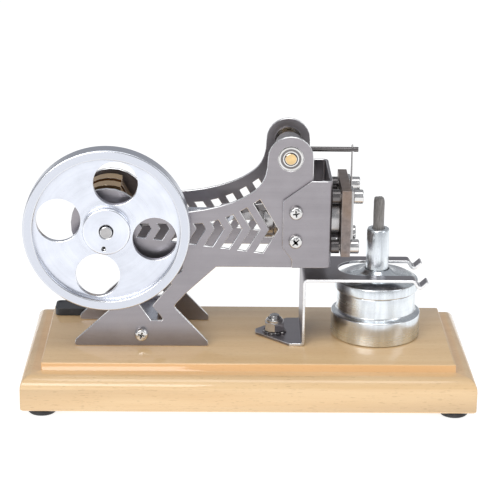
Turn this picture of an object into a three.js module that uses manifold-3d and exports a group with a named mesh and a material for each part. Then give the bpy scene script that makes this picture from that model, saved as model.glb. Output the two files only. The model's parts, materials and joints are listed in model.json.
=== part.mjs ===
// Flame-licker engine model: a single-cylinder vacuum engine on a wooden base.
// Millimetres, +Z up, +X towards the burner, -Y towards the flywheel.
// The origin is the middle of the footprint, on the surface that the feet stand on.

import * as THREE from 'three';
import { mergeVertices } from 'three/addons/utils/BufferGeometryUtils.js';
import Module from 'manifold-3d';

const wasm = await Module();
wasm.setup();

// ---------------------------------------------------------------- driving dimensions

// clearances
const GAP = 0.3; // between a piece and whatever it passes through or seats in
const REST = 0.1; // between a piece and the flat face that it rests on
const RUN = 0.5; // between pieces that turn or slide past each other

// wooden base
const BASE_LENGTH = 190;
const BASE_WIDTH = 86;
const BASE_HEIGHT = 18.7;
const BASE_STEP = 3.6; // height of the square step under the top face
const BASE_LEDGE = 3.2; // flat ledge outside the step
const BASE_ROUND = 5; // radius of the moulded edge
const BASE_EASE = 0.6; // eased lower edge

// rubber feet
const FOOT_RADIUS = 6.2;
const FOOT_HEIGHT = 3.3;
const FOOT_INSET_X = 8.5;
const FOOT_INSET_Y = 8;

// name plate at the rear left of the base
const BADGE_LENGTH = 26;
const BADGE_WIDTH = 11;
const BADGE_HEIGHT = 3.4;
const BADGE_CORNER = 2.2;
const BADGE_INSET_X = 22.4; // middle of the plate from the base's end
const BADGE_INSET_Y = 16.6; // and from its rear edge

// engine frame: two side plates with their middle plane at FRAME_Y, and heights above the base
const FRAME_Y = 1.2;
const PLATE = 1.5;
const CRANK_X = -59.5;
const BOSS_RADIUS = 15.5; // plate's round end at the crankshaft
const ROCKER_X = 16.6;
const ROCKER_RISE = 28.9; // rocker above the crank and cylinder axis
const EAR_RADIUS = 9.5;
const BODY_DROP = 18.4; // plate's lower edge below the axis
const BODY_CLEAR = 5.6; // between the burner bracket's top and the plate's lower edge
const STANCE_X = -45.6; // middle of the plate's feet
const STANCE = 57.4; // length of the plate's foot edge
const WAIST = 22.4; // width of the plate where its feet cross
const WAIST_Z = 18;
const WAIST_SHIFT = 3; // waist to the right of the stance's middle
const SADDLE_RISE = 5.4; // plate's long upper edge above the axis, where it is nearly level
const SIDE_FLOAT = 0.6; // between the eccentric and the rear crank bearing

// chevron windows in the side plates
const CHEVRONS = 8;
const CHEVRON_PITCH = 7.6;
const CHEVRON_WIDTH = 3.8; // measured along X
const CHEVRON_BEHIND = 7.2; // first tip to the left of the bracket's screws
const CHEVRON_DROP = 1.7; // row of tips below the axis
const CHEVRON_ANGLE = THREE.MathUtils.degToRad(59);
const CHEVRON_ROOF = 6.6; // plate left above the windows beside the ear
const CHEVRON_FLOOR = 6.4; // plate left below them at the head end
const FLOOR_SLOPE = 0.126; // the windows' lower limit falls towards the head
const ROOF_RISE = 15; // upper limit beside the ear, above the saddle before the plate's margin
const ROOF_SLOPE = 0.824;
const ROOF_CURVE = 0.0127; // per mm
const ROOF_RUN = 32; // length over which the upper limit falls
const LIGHTENING_HOLE = 3;

// fasteners
const M3 = 1.5;
const PAN_RADIUS = 3;
const PAN_HEIGHT = 2.2;
const CAP_RADIUS = 3.05;
const CAP_HEIGHT = 4.1;
const HEX_KEY = 1.45;

// foot block between the plates
const BLOCK_LENGTH = 13;
const BLOCK_HEIGHT = 9.6;
const FOOT_SCREW_Z = 5.6;
const BASE_SCREW_HEAD = 3.4;
const BASE_SCREWS_APART = 0.4; // between the two heads, which share one well
const BASE_SCREW_SUNK = 4;
const BLOCK_ROOF = 2; // block left above the base screws' holes

// cylinder-head bracket, a bent sheet outside the plates
const SHEET = 1.2;
const BEND = 1.4; // inner bend radius
const WEB_AHEAD = 8.1; // web's outer face beyond the plates' head end
const FLANGE_LENGTH = 20.6;
const FLANGE_RISE = 19.8; // flange's top above the axis
const FLANGE_TOP_LENGTH = 8.8; // flange's length at its top
const FLANGE_SLOPE = 8.7; // height of the cut upper corner
const FLANGE_HIP = 9; // height of the cut lower corner above the flange's bottom
const FLANGE_HIP_LENGTH = 4.1; // length of the cut lower corner
const FLANGE_HIP_STEP = 3.5; // upright part under the cut lower corner
const BRACKET_SCREW_INSET = 5.5; // from the flange's left edge
const BRACKET_SCREW_PITCH = 12.5;
const BRACKET_SCREW_PROUD = 0.6; // past the plate's inner face

// cylinder, piston and head
const CYLINDER_RADIUS = 10;
const CYLINDER_WALL = 2.5;
const CYLINDER_SPARE = 2; // bore left behind the piston at the end of its stroke
const COLLAR_LIP = 2; // collar beyond the cylinder's wall
const COLLAR = 3;
const STROKE = 14;
const PISTON_LENGTH = 16;
const PISTON_GAP = 0.3;
const STANDOFF = 3.5;
const STANDOFF_RADIUS = 3;
const PORT_PLATE = 3.9;
const PORT_PLATE_SIDE = 7.2; // plate beyond the head screws' centres, sideways
const PORT_PLATE_END = 3.4; // and up and down
const PORT_PLATE_RISE = 1; // plate's middle above the cylinder axis
const HEAD_SCREW_IN = 0.2; // head screws' centres inside the cylinder's wall, sideways
const HEAD_SCREW_OUT = 1; // and outside it, up and down
const PORT_RADIUS = 2.5;
const PORT_RISE = 1.2; // port above the cylinder axis

// valve
const GUIDE = 0.9;
const GUIDE_SIDE = 3.7; // guide beyond the head screws' centres, sideways
const GUIDE_CROWN = 3.3; // and above the upper ones
const GUIDE_FOOT = 2.4; // guide below its slot
const GUIDE_SLOT_DROP = 3; // slot below the port
const VALVE = 1.2;
const VALVE_WIDTH = 9;
const VALVE_HEIGHT = 9;
const WIRE_RADIUS = 0.4;
const WIRE_SUNK = 2; // wire's end inside the valve
const WIRE_FIT = 0.1;
const WIRE_PROUD = 1; // end of the wire above the rocker rod

// rocker
const SHAFT = 2.5; // radius of the rocker shaft and the crankshaft
const ROCKER_HUB_RADIUS = 6;
const ROCKER_HUB_WIDTH = 12;
const EYE_CLEAR = 0.45; // round the wire in the rod's eye, for the rocker's swing
const EYE_WALL = 0.25; // rod left beside the eye
const ROCKER_ROD_END = 2.6; // rod beyond the wire
const DROP_PIN_DROP = 1.1; // lower pin below the level of the cylinder's top
const DROP_ARM_THICK = 1.4;
const DROP_PIN = 1.5;
const ARM_END = 2.8;
const ARM_WAIST = 1.9; // half width
const ARM_TUCK = 0.6; // arm inside the width of the cylinder, which it swings above

// ball bearings with a flange inside the plates
const BEARING_RING = 2.5; // width of the ring round the shaft
const BEARING_RIM = 0.8; // flange beyond the ring
const BEARING_LIP = 0.8;

// crank
const DISC_RADIUS = 15;
const DISC = 7;
const DISC_CUT = THREE.MathUtils.degToRad(70); // where the disc's side towards the pin is cut back
const DISC_NECK = 0.8; // height of the cut side as a share of the disc's radius
const CRANK_PIN = 2;
const CON_ROD = 3; // thickness
const CON_ROD_LENGTH = 42.5;
const BIG_END = 5;
const SMALL_END = 3.4;
const WRIST_PIN = 1.5;
const TONGUE = 3; // thickness of the piston's tongue
const THROW = STROKE / 2;

// eccentric and push rod
const ECCENTRICITY = 2.44;
const ECCENTRIC_WALL = 0.16; // at its thin side
const ECCENTRIC = 2.6;
const STRAP = 2.4; // radial width of the strap
const PUSH_ROD = 2; // thickness
const PUSH_ROD_WAIST = 1.5; // half width
const CON_ROD_WAIST = 2.4; // half width

// flywheel
const WHEEL_RADIUS = 34.7;
const WHEEL = 8;
const WHEEL_GAP = 2; // behind the flywheel
const RIM = 4.2;
const RECESS = 2.7;
const HUB_RADIUS = 10;
const HUB_PROUD = 0.4;
const SHAFT_PROUD = 1;
const WHEEL_HOLES = 4;
const HOLE_TO_HUB = 1.1; // web left between a hole and the hub
const HOLE_TO_RIM = 1; // and between it and the rim
const WHEEL_TURN = THREE.MathUtils.degToRad(-11);
const GRUB = 1.5;
const GRUB_LENGTH = 4;

// burner bracket
const STAND_CLEAR = 1.8; // above the burner's cap
const STAND_ROOM = 12.2; // between the web and the tank
const STAND_WIDTH = 32;
const STAND_SLOT = 20;
const STAND_SLOT_BACK = 16.9; // slot's closed end behind the burner's axis
const STAND_END_BACK = 3.5; // where the tips turn down, behind the far side of the cap's band
const TIP_DROP = 3.6;
const TIP_OUT = 2.3;
const TIP_RISE = 3.2;
const TIP_REACH = 3.5;
const STAND_BEND = 1.2; // radius of the bends' middle line
const STAND_NOSE = 4; // width of the foot's end
const STAND_CHEEK = 6.5; // full-width part of the foot
const STAND_BOLT_BACK = 6; // bolt behind the full-width part
const STAND_TOE = 8.3; // foot beyond the bolt
const STAND_BOLT_Y = -1.6;
const M5 = 2.5;
const WASHER_RADIUS = 5.2;
const WASHER = 0.8;
const WASHER_TEETH = 10;
const WASHER_TOOTH = 0.8;
const NUT_FLATS = 8;
const NUT_HEX = 4;
const NUT_COLLAR = 1.6;
const NUT_SHOULDER = 0.3; // collar inside the flats
const NUT_DOME = 0.9; // slope of the collar's end
const NUT_LAP = 0.5; // collar's root inside the hexagon
const BOLT_PROUD = 1.4;
const BOLT_HEAD = 4.4;
const BOLT_HEAD_HEIGHT = 3;

// burner
const BURNER_CLEAR = 4.2; // between the wick tube and the heads of the lower head screws
const BURNER_Y = 1.6;
const TANK_RADIUS = 19.3;
const TANK_HEIGHT = 11.1;
const NECK_STEP = 2.3; // neck inside the tank's wall
const NECK_TOP = 21;
const TANK_WALL = 1.5;
const CAP_LIP = 1; // cap's band beyond the neck
const CAP_BAND = 4.6;
const CAP_SLOPE = 3.7; // cap's flat top inside its band
const CAP_CROWN = 1.5;
const CAP_FLARE = 3.1; // foot of the flare round the tube, beyond the tube
const CAP_FLARE_RISE = 1;
const CAP_COLLAR = 0.7; // top of the flare, beyond the tube's hole
const CAP_COLLAR_RISE = 2.7; // above the crown
const CAP_SKIRT = 4;
const VENT_RADIUS = 0.8;
const TUBE_RADIUS = 4.9;
const TUBE_DROP = 6.3; // tube's top below the cylinder axis
const TUBE_DEPTH = 8; // inside the tank
const WICK_RADIUS = 2.45;
const WICK_PROUD = 13.8;

// ---------------------------------------------------------------- derived places

const BASE_TOP = FOOT_HEIGHT + BASE_HEIGHT;
const CAP_BASE = NECK_TOP + REST;
const CAP_TOP = CAP_BASE + CAP_BAND + CAP_CROWN;
const STAND_TOP = REST + CAP_TOP + STAND_CLEAR + SHEET;
const BODY_BOTTOM = STAND_TOP + BODY_CLEAR;
const AXIS_Z = BODY_BOTTOM + BODY_DROP; // cylinder and crank axis above the base's top face
const ROCKER_Z = AXIS_Z + ROCKER_RISE;
const SADDLE_Z = AXIS_Z + SADDLE_RISE;
const ARM_Y = CYLINDER_RADIUS - ARM_TUCK;
const PUSH_ROD_Y = ARM_Y + DROP_ARM_THICK + RUN;
const ECCENTRIC_Y = PUSH_ROD_Y + (PUSH_ROD - ECCENTRIC) / 2;
const PLATE_IN = ECCENTRIC_Y + ECCENTRIC + SIDE_FLOAT + BEARING_LIP;
const PLATE_OUT = PLATE_IN + PLATE;
const FLANGE_IN = PLATE_OUT + GAP;
const FLANGE_OUT = FLANGE_IN + SHEET;
const FLANGE_BOTTOM = BODY_BOTTOM + GAP;
const FLANGE_TOP = AXIS_Z + FLANGE_RISE;
const WEB_X = ROCKER_X + EAR_RADIUS + WEB_AHEAD;
const FLANGE_LEFT = WEB_X - FLANGE_LENGTH;
const BRACKET_SCREW_X = FLANGE_LEFT + BRACKET_SCREW_INSET;
const CHEVRON_TIP = BRACKET_SCREW_X - CHEVRON_BEHIND;
const CHEVRON_Z = AXIS_Z - CHEVRON_DROP;
const WAIST_X = STANCE_X + WAIST_SHIFT;
const BASE_SCREW_Y = BASE_SCREW_HEAD + BASE_SCREWS_APART / 2;
const FOOT_SCREW_LENGTH = PLATE_IN - 3 * GAP - BASE_SCREW_Y - M3;
const BORE_RADIUS = CYLINDER_RADIUS - CYLINDER_WALL;
const CYLINDER_LENGTH = PISTON_LENGTH + STROKE + CYLINDER_SPARE;
const HEAD_SCREW_Y = CYLINDER_RADIUS - HEAD_SCREW_IN;
const HEAD_SCREW_Z = CYLINDER_RADIUS + HEAD_SCREW_OUT;
const STANDOFF_X = WEB_X + GAP;
const PORT_X = STANDOFF_X + STANDOFF + GAP;
const PORT_FACE = PORT_X + PORT_PLATE;
const GUIDE_X = PORT_FACE + GAP;
const CYLINDER_END = PORT_X - GAP;
const CROWN_X = CYLINDER_END - RUN;
const WIRE_X = GUIDE_X + VALVE / 2;
const VALVE_Z = AXIS_Z + PORT_RISE;
const WRIST_X = CRANK_X + THROW + CON_ROD_LENGTH;
const DISC_IN = CON_ROD / 2 + RUN;
const DISC_OUT = DISC_IN + DISC;
const TONGUE_Y = CON_ROD / 2 + RUN;
const ROCKER_ROD = WIRE_RADIUS + EYE_CLEAR + EYE_WALL;
const DROP_PIN_Z = AXIS_Z + CYLINDER_RADIUS - DROP_PIN_DROP;
const BEARING_RADIUS = SHAFT + BEARING_RING;
const ECCENTRIC_RADIUS = SHAFT + GAP + ECCENTRICITY + ECCENTRIC_WALL;
const WHEEL_BACK = -(PLATE_OUT + WHEEL_GAP);
const WHEEL_FRONT = WHEEL_BACK - WHEEL;
const WHEEL_INNER = WHEEL_RADIUS - RIM;
const WHEEL_HOLE = (WHEEL_INNER - HUB_RADIUS - HOLE_TO_HUB - HOLE_TO_RIM) / 2;
const WHEEL_HOLE_CIRCLE = HUB_RADIUS + HOLE_TO_HUB + WHEEL_HOLE;
const NECK_RADIUS = TANK_RADIUS - NECK_STEP;
const CAP_BAND_RADIUS = NECK_RADIUS + CAP_LIP;
const CAP_CROWN_RADIUS = CAP_BAND_RADIUS - CAP_SLOPE;
const TUBE_TOP = AXIS_Z - TUBE_DROP;
const BURNER_X = PORT_FACE + REST + CAP_HEIGHT + BURNER_CLEAR + TUBE_RADIUS;
const STAND_WEB_X = BURNER_X - TANK_RADIUS - STAND_ROOM;
const STAND_CHEEK_X = STAND_WEB_X - STAND_CHEEK;
const STAND_BOLT_X = STAND_CHEEK_X - STAND_BOLT_BACK;
const STAND_FOOT_X = STAND_BOLT_X - STAND_TOE;
const STAND_SLOT_X = BURNER_X - STAND_SLOT_BACK;
const STAND_END = BURNER_X + CAP_BAND_RADIUS - STAND_END_BACK;

// ---------------------------------------------------------------- materials

function finish(color, roughness, metalness) {
  return new THREE.MeshStandardMaterial({ color, roughness, metalness });
}

const WOOD = finish(0xe3bd8c, 0.35, 0);
const RUBBER = finish(0x18181a, 0.8, 0);
const BADGE_BLACK = finish(0x1b1d22, 0.4, 0);
const STAINLESS = finish(0xa9a3a1, 0.38, 1);
const ALUMINIUM = finish(0xd3d6e0, 0.25, 1);
const NICKEL = finish(0xd8d4cc, 0.2, 1);
const BRASS = finish(0xd9b777, 0.3, 1);
const STEEL = finish(0x9c9ba0, 0.3, 1);
const IRON = finish(0x85766f, 0.6, 0.8);
const FELT = finish(0x6f6a66, 0.95, 0);
const NYLON = finish(0xb9bcc4, 0.35, 1);

// ---------------------------------------------------------------- geometry helpers

// Merge shared corners and drop collapsed triangles, so that a solid is closed.
function tidy(geometry) {
  const plain = new THREE.BufferGeometry();
  plain.setAttribute('position', geometry.getAttribute('position'));
  plain.setIndex(geometry.getIndex());
  const merged = mergeVertices(plain, 1e-4);
  const index = merged.getIndex().array;
  const kept = [];
  for (let i = 0; i < index.length; i += 3) {
    const [a, b, c] = [index[i], index[i + 1], index[i + 2]];
    if (a !== b && b !== c && c !== a) {
      kept.push(a, b, c);
    }
  }
  merged.setIndex(kept);
  return faceOut(merged);
}

function signedVolume(geometry) {
  const at = geometry.getAttribute('position');
  const index = geometry.getIndex().array;
  const [a, b, c] = [new THREE.Vector3(), new THREE.Vector3(), new THREE.Vector3()];
  let volume = 0;
  for (let i = 0; i < index.length; i += 3) {
    a.fromBufferAttribute(at, index[i]);
    b.fromBufferAttribute(at, index[i + 1]);
    c.fromBufferAttribute(at, index[i + 2]);
    volume += a.dot(b.cross(c)) / 6;
  }
  return volume;
}

function faceOut(geometry) {
  if (signedVolume(geometry) < 0) {
    geometry.setIndex(Array.from(geometry.getIndex().array).reverse());
  }
  return geometry;
}

function toManifold(geometry) {
  const clean = tidy(geometry);
  return new wasm.Manifold(new wasm.Mesh({
    numProp: 3,
    vertProperties: new Float32Array(clean.getAttribute('position').array),
    triVerts: new Uint32Array(clean.getIndex().array),
  }));
}

function fromManifold(manifold) {
  const mesh = manifold.getMesh();
  const geometry = new THREE.BufferGeometry();
  geometry.setAttribute('position', new THREE.BufferAttribute(mesh.vertProperties, 3));
  geometry.setIndex(Array.from(mesh.triVerts));
  return geometry;
}

function cut(body, ...tools) {
  return fromManifold(tools.reduce((left, tool) => left.subtract(toManifold(tool)), toManifold(body)));
}

function join(body, ...others) {
  return fromManifold(others.reduce((sum, other) => sum.add(toManifold(other)), toManifold(body)));
}

// Extrude an outline drawn in X and Z, from y0 to y1.
function slabY(shape, y0, y1, curveSegments = 8) {
  const geometry = new THREE.ExtrudeGeometry(shape, { depth: y1 - y0, bevelEnabled: false, curveSegments });
  return geometry.rotateX(Math.PI / 2).translate(0, y1, 0);
}

// Extrude an outline drawn in X and Y, from z0 to z1.
function slabZ(shape, z0, z1, curveSegments = 8) {
  const geometry = new THREE.ExtrudeGeometry(shape, { depth: z1 - z0, bevelEnabled: false, curveSegments });
  return geometry.translate(0, 0, z0);
}

// Turn a profile of [radius, height] points about +Z, +X or +Y.
function turned(profile, segments, axis = 'z') {
  const points = profile.map(([radius, height]) => new THREE.Vector2(radius, height));
  const geometry = new THREE.LatheGeometry(points, segments);
  if (axis === 'z') {
    geometry.rotateX(Math.PI / 2);
  }
  if (axis === 'x') {
    geometry.rotateZ(-Math.PI / 2);
  }
  return tidy(geometry);
}

function bar(radius, from, to, segments, axis) {
  return turned([[0, from], [radius, from], [radius, to], [0, to]], segments, axis);
}

function sleeve(inner, outer, from, to, segments, axis) {
  const ring = [[inner, from], [outer, from], [outer, to], [inner, to], [inner, from]];
  return turned(ring, segments, axis);
}

function box(x0, x1, y0, y1, z0, z1) {
  const geometry = new THREE.BoxGeometry(x1 - x0, y1 - y0, z1 - z0);
  return geometry.translate((x0 + x1) / 2, (y0 + y1) / 2, (z0 + z1) / 2);
}

function polygon(points) {
  return new THREE.Shape(points.map(([x, y]) => new THREE.Vector2(x, y)));
}

function circle(x, y, radius, Kind = THREE.Path) {
  return new Kind().absarc(x, y, radius, 0, 2 * Math.PI, false);
}

// Rounded rectangle about the origin.
function rounded(length, width, corner) {
  const [x, y] = [length / 2 - corner, width / 2 - corner];
  const shape = new THREE.Shape();
  shape.absarc(x, y, corner, 0, Math.PI / 2, false);
  shape.absarc(-x, y, corner, Math.PI / 2, Math.PI, false);
  shape.absarc(-x, -y, corner, Math.PI, 1.5 * Math.PI, false);
  shape.absarc(x, -y, corner, 1.5 * Math.PI, 2 * Math.PI, false);
  return shape;
}

// Round each inner corner of an open path with an arc of the given radius.
function roundPath(corners, radius, steps = 4) {
  const path = [corners[0]];
  for (let i = 1; i < corners.length - 1; i += 1) {
    const toPrevious = new THREE.Vector2().subVectors(corners[i - 1], corners[i]).normalize();
    const toNext = new THREE.Vector2().subVectors(corners[i + 1], corners[i]).normalize();
    const half = Math.acos(THREE.MathUtils.clamp(toPrevious.dot(toNext), -1, 1)) / 2;
    const reach = radius / Math.tan(half);
    const start = corners[i].clone().addScaledVector(toPrevious, reach);
    const end = corners[i].clone().addScaledVector(toNext, reach);
    const bisector = toPrevious.clone().add(toNext).normalize();
    const centre = corners[i].clone().addScaledVector(bisector, radius / Math.sin(half));
    const [a, b] = [start.clone().sub(centre), end.clone().sub(centre)];
    const sweep = Math.atan2(a.cross(b), a.dot(b));
    for (let step = 0; step <= steps; step += 1) {
      path.push(a.clone().rotateAround(new THREE.Vector2(), (sweep * step) / steps).add(centre));
    }
  }
  path.push(corners[corners.length - 1]);
  return path;
}

// The outline of a bent sheet whose middle follows a path.
function ribbon(path, thickness) {
  const sides = [[], []];
  path.forEach((point, i) => {
    const before = new THREE.Vector2().subVectors(point, path[Math.max(i - 1, 0)]);
    const after = new THREE.Vector2().subVectors(path[Math.min(i + 1, path.length - 1)], point);
    const [u, v] = [before.length() ? before : after, after.length() ? after : before];
    const along = u.clone().normalize().add(v.clone().normalize()).normalize();
    const mitre = thickness / 2 / Math.max(along.dot(u.clone().normalize()), 0.5);
    const across = new THREE.Vector2(-along.y, along.x);
    sides[0].push(point.clone().addScaledVector(across, mitre));
    sides[1].unshift(point.clone().addScaledVector(across, -mitre));
  });
  return new THREE.Shape([...sides[0], ...sides[1]]);
}

// ---------------------------------------------------------------- scene graph helpers

const model = new THREE.Group();
const engine = new THREE.Group();
engine.position.set(0, FRAME_Y, BASE_TOP);
model.add(engine);

function place(group, name, geometry, material, x = 0, y = 0, z = 0) {
  const mesh = new THREE.Mesh(tidy(geometry), material);
  mesh.name = name;
  mesh.position.set(x, y, z);
  group.add(mesh);
  return mesh;
}

// ---------------------------------------------------------------- base, feet and name plate

// The board is a stack of rectangles, one for each point of the moulded edge.
function mouldedBoard() {
  const inset = BASE_LEDGE + BASE_ROUND;
  const edge = [[BASE_EASE, 0], [0, BASE_EASE]];
  const roundTop = BASE_HEIGHT - BASE_STEP;
  const steps = 6;
  for (let i = 0; i <= steps; i += 1) {
    const turn = (i / steps) * (Math.PI / 2);
    edge.push([BASE_ROUND * (1 - Math.cos(turn)), roundTop - BASE_ROUND * (1 - Math.sin(turn))]);
  }
  edge.push([inset, roundTop], [inset, BASE_HEIGHT]);
  const corners = [];
  edge.forEach(([d, z]) => {
    const [x, y] = [BASE_LENGTH / 2 - d, BASE_WIDTH / 2 - d];
    corners.push(-x, -y, z, x, -y, z, x, y, z, -x, y, z);
  });
  const faces = [0, 2, 1, 0, 3, 2];
  for (let ring = 0; ring < edge.length - 1; ring += 1) {
    for (let side = 0; side < 4; side += 1) {
      const [a, b] = [4 * ring + side, 4 * ring + ((side + 1) % 4)];
      faces.push(a, b, b + 4, a, b + 4, a + 4);
    }
  }
  const top = 4 * (edge.length - 1);
  faces.push(top, top + 1, top + 2, top, top + 2, top + 3);
  const geometry = new THREE.BufferGeometry();
  geometry.setAttribute('position', new THREE.Float32BufferAttribute(corners, 3));
  geometry.setIndex(faces);
  return geometry;
}

function screwWell(x, y, headRadius, sunk, shankRadius) {
  const profile = [[0, -1], [headRadius, -1], [headRadius, sunk], [shankRadius, sunk]];
  profile.push([shankRadius, BASE_HEIGHT + 1], [0, BASE_HEIGHT + 1]);
  return turned(profile, 16).translate(x, y, 0);
}

function addBase() {
  const wells = [-1, 1].map((side) => screwWell(
    STANCE_X, FRAME_Y + side * BASE_SCREW_Y, BASE_SCREW_HEAD + GAP, BASE_SCREW_SUNK, M3 + GAP));
  wells.push(screwWell(
    STAND_BOLT_X, FRAME_Y + STAND_BOLT_Y, BOLT_HEAD + GAP, BOLT_HEAD_HEIGHT + 1, M5 + GAP));
  place(model, 'base_board', cut(mouldedBoard(), ...wells), WOOD, 0, 0, FOOT_HEIGHT);
  const dome = [[0, 0], [FOOT_RADIUS - 1.6, 0], [FOOT_RADIUS - 0.5, 0.5], [FOOT_RADIUS, 1.6]];
  dome.push([FOOT_RADIUS, FOOT_HEIGHT - REST], [0, FOOT_HEIGHT - REST]);
  for (const [end, sx] of [['left', -1], ['right', 1]]) {
    for (const [row, sy] of [['front', -1], ['rear', 1]]) {
      const [x, y] = [BASE_LENGTH / 2 - FOOT_INSET_X, BASE_WIDTH / 2 - FOOT_INSET_Y];
      place(model, `foot_${row}_${end}`, turned(dome, 16), RUBBER, sx * x, sy * y, 0);
    }
  }
  const badge = slabZ(rounded(BADGE_LENGTH, BADGE_WIDTH, BADGE_CORNER), 0, BADGE_HEIGHT, 3);
  const [x, y] = [BADGE_INSET_X - BASE_LENGTH / 2, BASE_WIDTH / 2 - BADGE_INSET_Y];
  place(model, 'name_plate', badge, BADGE_BLACK, x, y, BASE_TOP + REST);
}

// ---------------------------------------------------------------- side plates

function bossPoint(degrees) {
  const turn = THREE.MathUtils.degToRad(degrees);
  return [CRANK_X + BOSS_RADIUS * Math.cos(turn), AXIS_Z + BOSS_RADIUS * Math.sin(turn)];
}

function plateOutline() {
  const right = ROCKER_X + EAR_RADIUS;
  const left = ROCKER_X - EAR_RADIUS;
  const [heel, toe] = [STANCE_X - STANCE / 2, STANCE_X + STANCE / 2];
  const [waistLeft, waistRight] = [WAIST_X - WAIST / 2, WAIST_X + WAIST / 2];
  const shape = new THREE.Shape();
  shape.moveTo(right, BODY_BOTTOM);
  shape.lineTo(right, ROCKER_Z);
  shape.absarc(ROCKER_X, ROCKER_Z, EAR_RADIUS, 0, Math.PI, false);
  shape.bezierCurveTo(left, ROCKER_Z - 9.2, left - 2.9, SADDLE_Z + 11.2, left - 7.4, SADDLE_Z + 8.2);
  shape.bezierCurveTo(left - 12.1, SADDLE_Z + 4.7, left - 25.6, SADDLE_Z + 0.1, left - 39, SADDLE_Z);
  const shoulder = bossPoint(35);
  shape.quadraticCurveTo(shoulder[0] + 3.6, SADDLE_Z, ...shoulder);
  const [from, to] = [35, 205].map((angle) => THREE.MathUtils.degToRad(angle));
  shape.absarc(CRANK_X, AXIS_Z, BOSS_RADIUS, from, to, false);
  shape.lineTo(CRANK_X - 2, AXIS_Z - 12.6);
  shape.lineTo(CRANK_X + 5.4, AXIS_Z - 17.8);
  shape.lineTo(waistLeft, WAIST_Z + 12);
  shape.lineTo(waistLeft, WAIST_Z + 3);
  shape.lineTo(heel + 0.8, 3);
  shape.quadraticCurveTo(heel - 0.6, REST, heel + 1.4, REST);
  shape.lineTo(toe - 1.2, REST);
  shape.quadraticCurveTo(toe + 0.4, REST, toe - 0.6, 2.4);
  shape.lineTo(waistRight + 0.6, WAIST_Z - 1.2);
  shape.quadraticCurveTo(waistRight - 0.6, WAIST_Z, waistRight + 0.6, WAIST_Z + 1.3);
  shape.lineTo(waistRight + 5, WAIST_Z + 6.3);
  shape.lineTo(waistRight + 17.4, BODY_BOTTOM);
  return shape;
}

// Upper and lower limits of the windows along the plate.
function roofAt(x) {
  const run = Math.max(x - (ROCKER_X - EAR_RADIUS), -ROOF_RUN);
  return SADDLE_Z + ROOF_RISE - CHEVRON_ROOF + ROOF_SLOPE * run + ROOF_CURVE * run * run;
}

function floorAt(x) {
  return BODY_BOTTOM + CHEVRON_FLOOR - FLOOR_SLOPE * (x - CHEVRON_TIP + CHEVRON_PITCH);
}

// Where an arm that leaves the point (x, CHEVRON_Z) up (1) or down (-1) meets its limit.
function armEnd(x, way) {
  const limit = way > 0 ? roofAt : floorAt;
  let z = CHEVRON_Z;
  for (let i = 0; i < 40; i += 1) {
    z = limit(x - Math.abs(z - CHEVRON_Z) / Math.tan(CHEVRON_ANGLE));
  }
  return [x - Math.abs(z - CHEVRON_Z) / Math.tan(CHEVRON_ANGLE), z];
}

function chevron(tip) {
  const inner = tip - CHEVRON_WIDTH;
  const lower = [armEnd(inner, -1), armEnd(tip, -1), [tip, CHEVRON_Z]];
  return polygon([...lower, armEnd(tip, 1), armEnd(inner, 1), [inner, CHEVRON_Z]]);
}

function legWindow() {
  const x = WAIST_X + WAIST / 2;
  return polygon([
    [x - 10.1, WAIST_Z - 6.4], [x - 5.6, WAIST_Z - 6.4], [x - 5.1, WAIST_Z - 5.5], [x - 9.6, WAIST_Z + 0.2],
    [x - 1.4, WAIST_Z + 10.2], [x - 5.2, WAIST_Z + 13.4], [x - 15.2, WAIST_Z + 1],
  ]);
}

function sidePlate() {
  const shape = plateOutline();
  for (let i = 0; i < CHEVRONS; i += 1) {
    shape.holes.push(chevron(CHEVRON_TIP - i * CHEVRON_PITCH));
  }
  shape.holes.push(legWindow());
  shape.holes.push(circle(CRANK_X, AXIS_Z, BEARING_RADIUS + GAP));
  shape.holes.push(circle(ROCKER_X, ROCKER_Z, BEARING_RADIUS + GAP));
  shape.holes.push(circle(WAIST_X + WAIST / 2 + 0.4, BODY_BOTTOM - 0.4, LIGHTENING_HOLE));
  shape.holes.push(circle(STANCE_X, FOOT_SCREW_Z, M3 + GAP));
  for (const side of [-1, 1]) {
    shape.holes.push(circle(BRACKET_SCREW_X, AXIS_Z + (side * BRACKET_SCREW_PITCH) / 2, M3 + GAP));
  }
  return slabY(shape, 0, PLATE, 6);
}

// Pan-head screw along +Y, with the underside of its head at the origin.
function panScrew(length) {
  const profile = [[0, -PAN_HEIGHT], [PAN_RADIUS * 0.55, -PAN_HEIGHT]];
  profile.push([PAN_RADIUS * 0.88, -PAN_HEIGHT * 0.72], [PAN_RADIUS, -PAN_HEIGHT * 0.3], [PAN_RADIUS, 0]);
  profile.push([M3, 0], [M3, length], [0, length]);
  return turned(profile, 14, 'y');
}

function addPanScrew(name, x, side, y, z, length) {
  const screw = place(engine, name, panScrew(length), NICKEL, x, side * y, z);
  screw.rotation.z = side > 0 ? Math.PI : 0;
}

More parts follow.
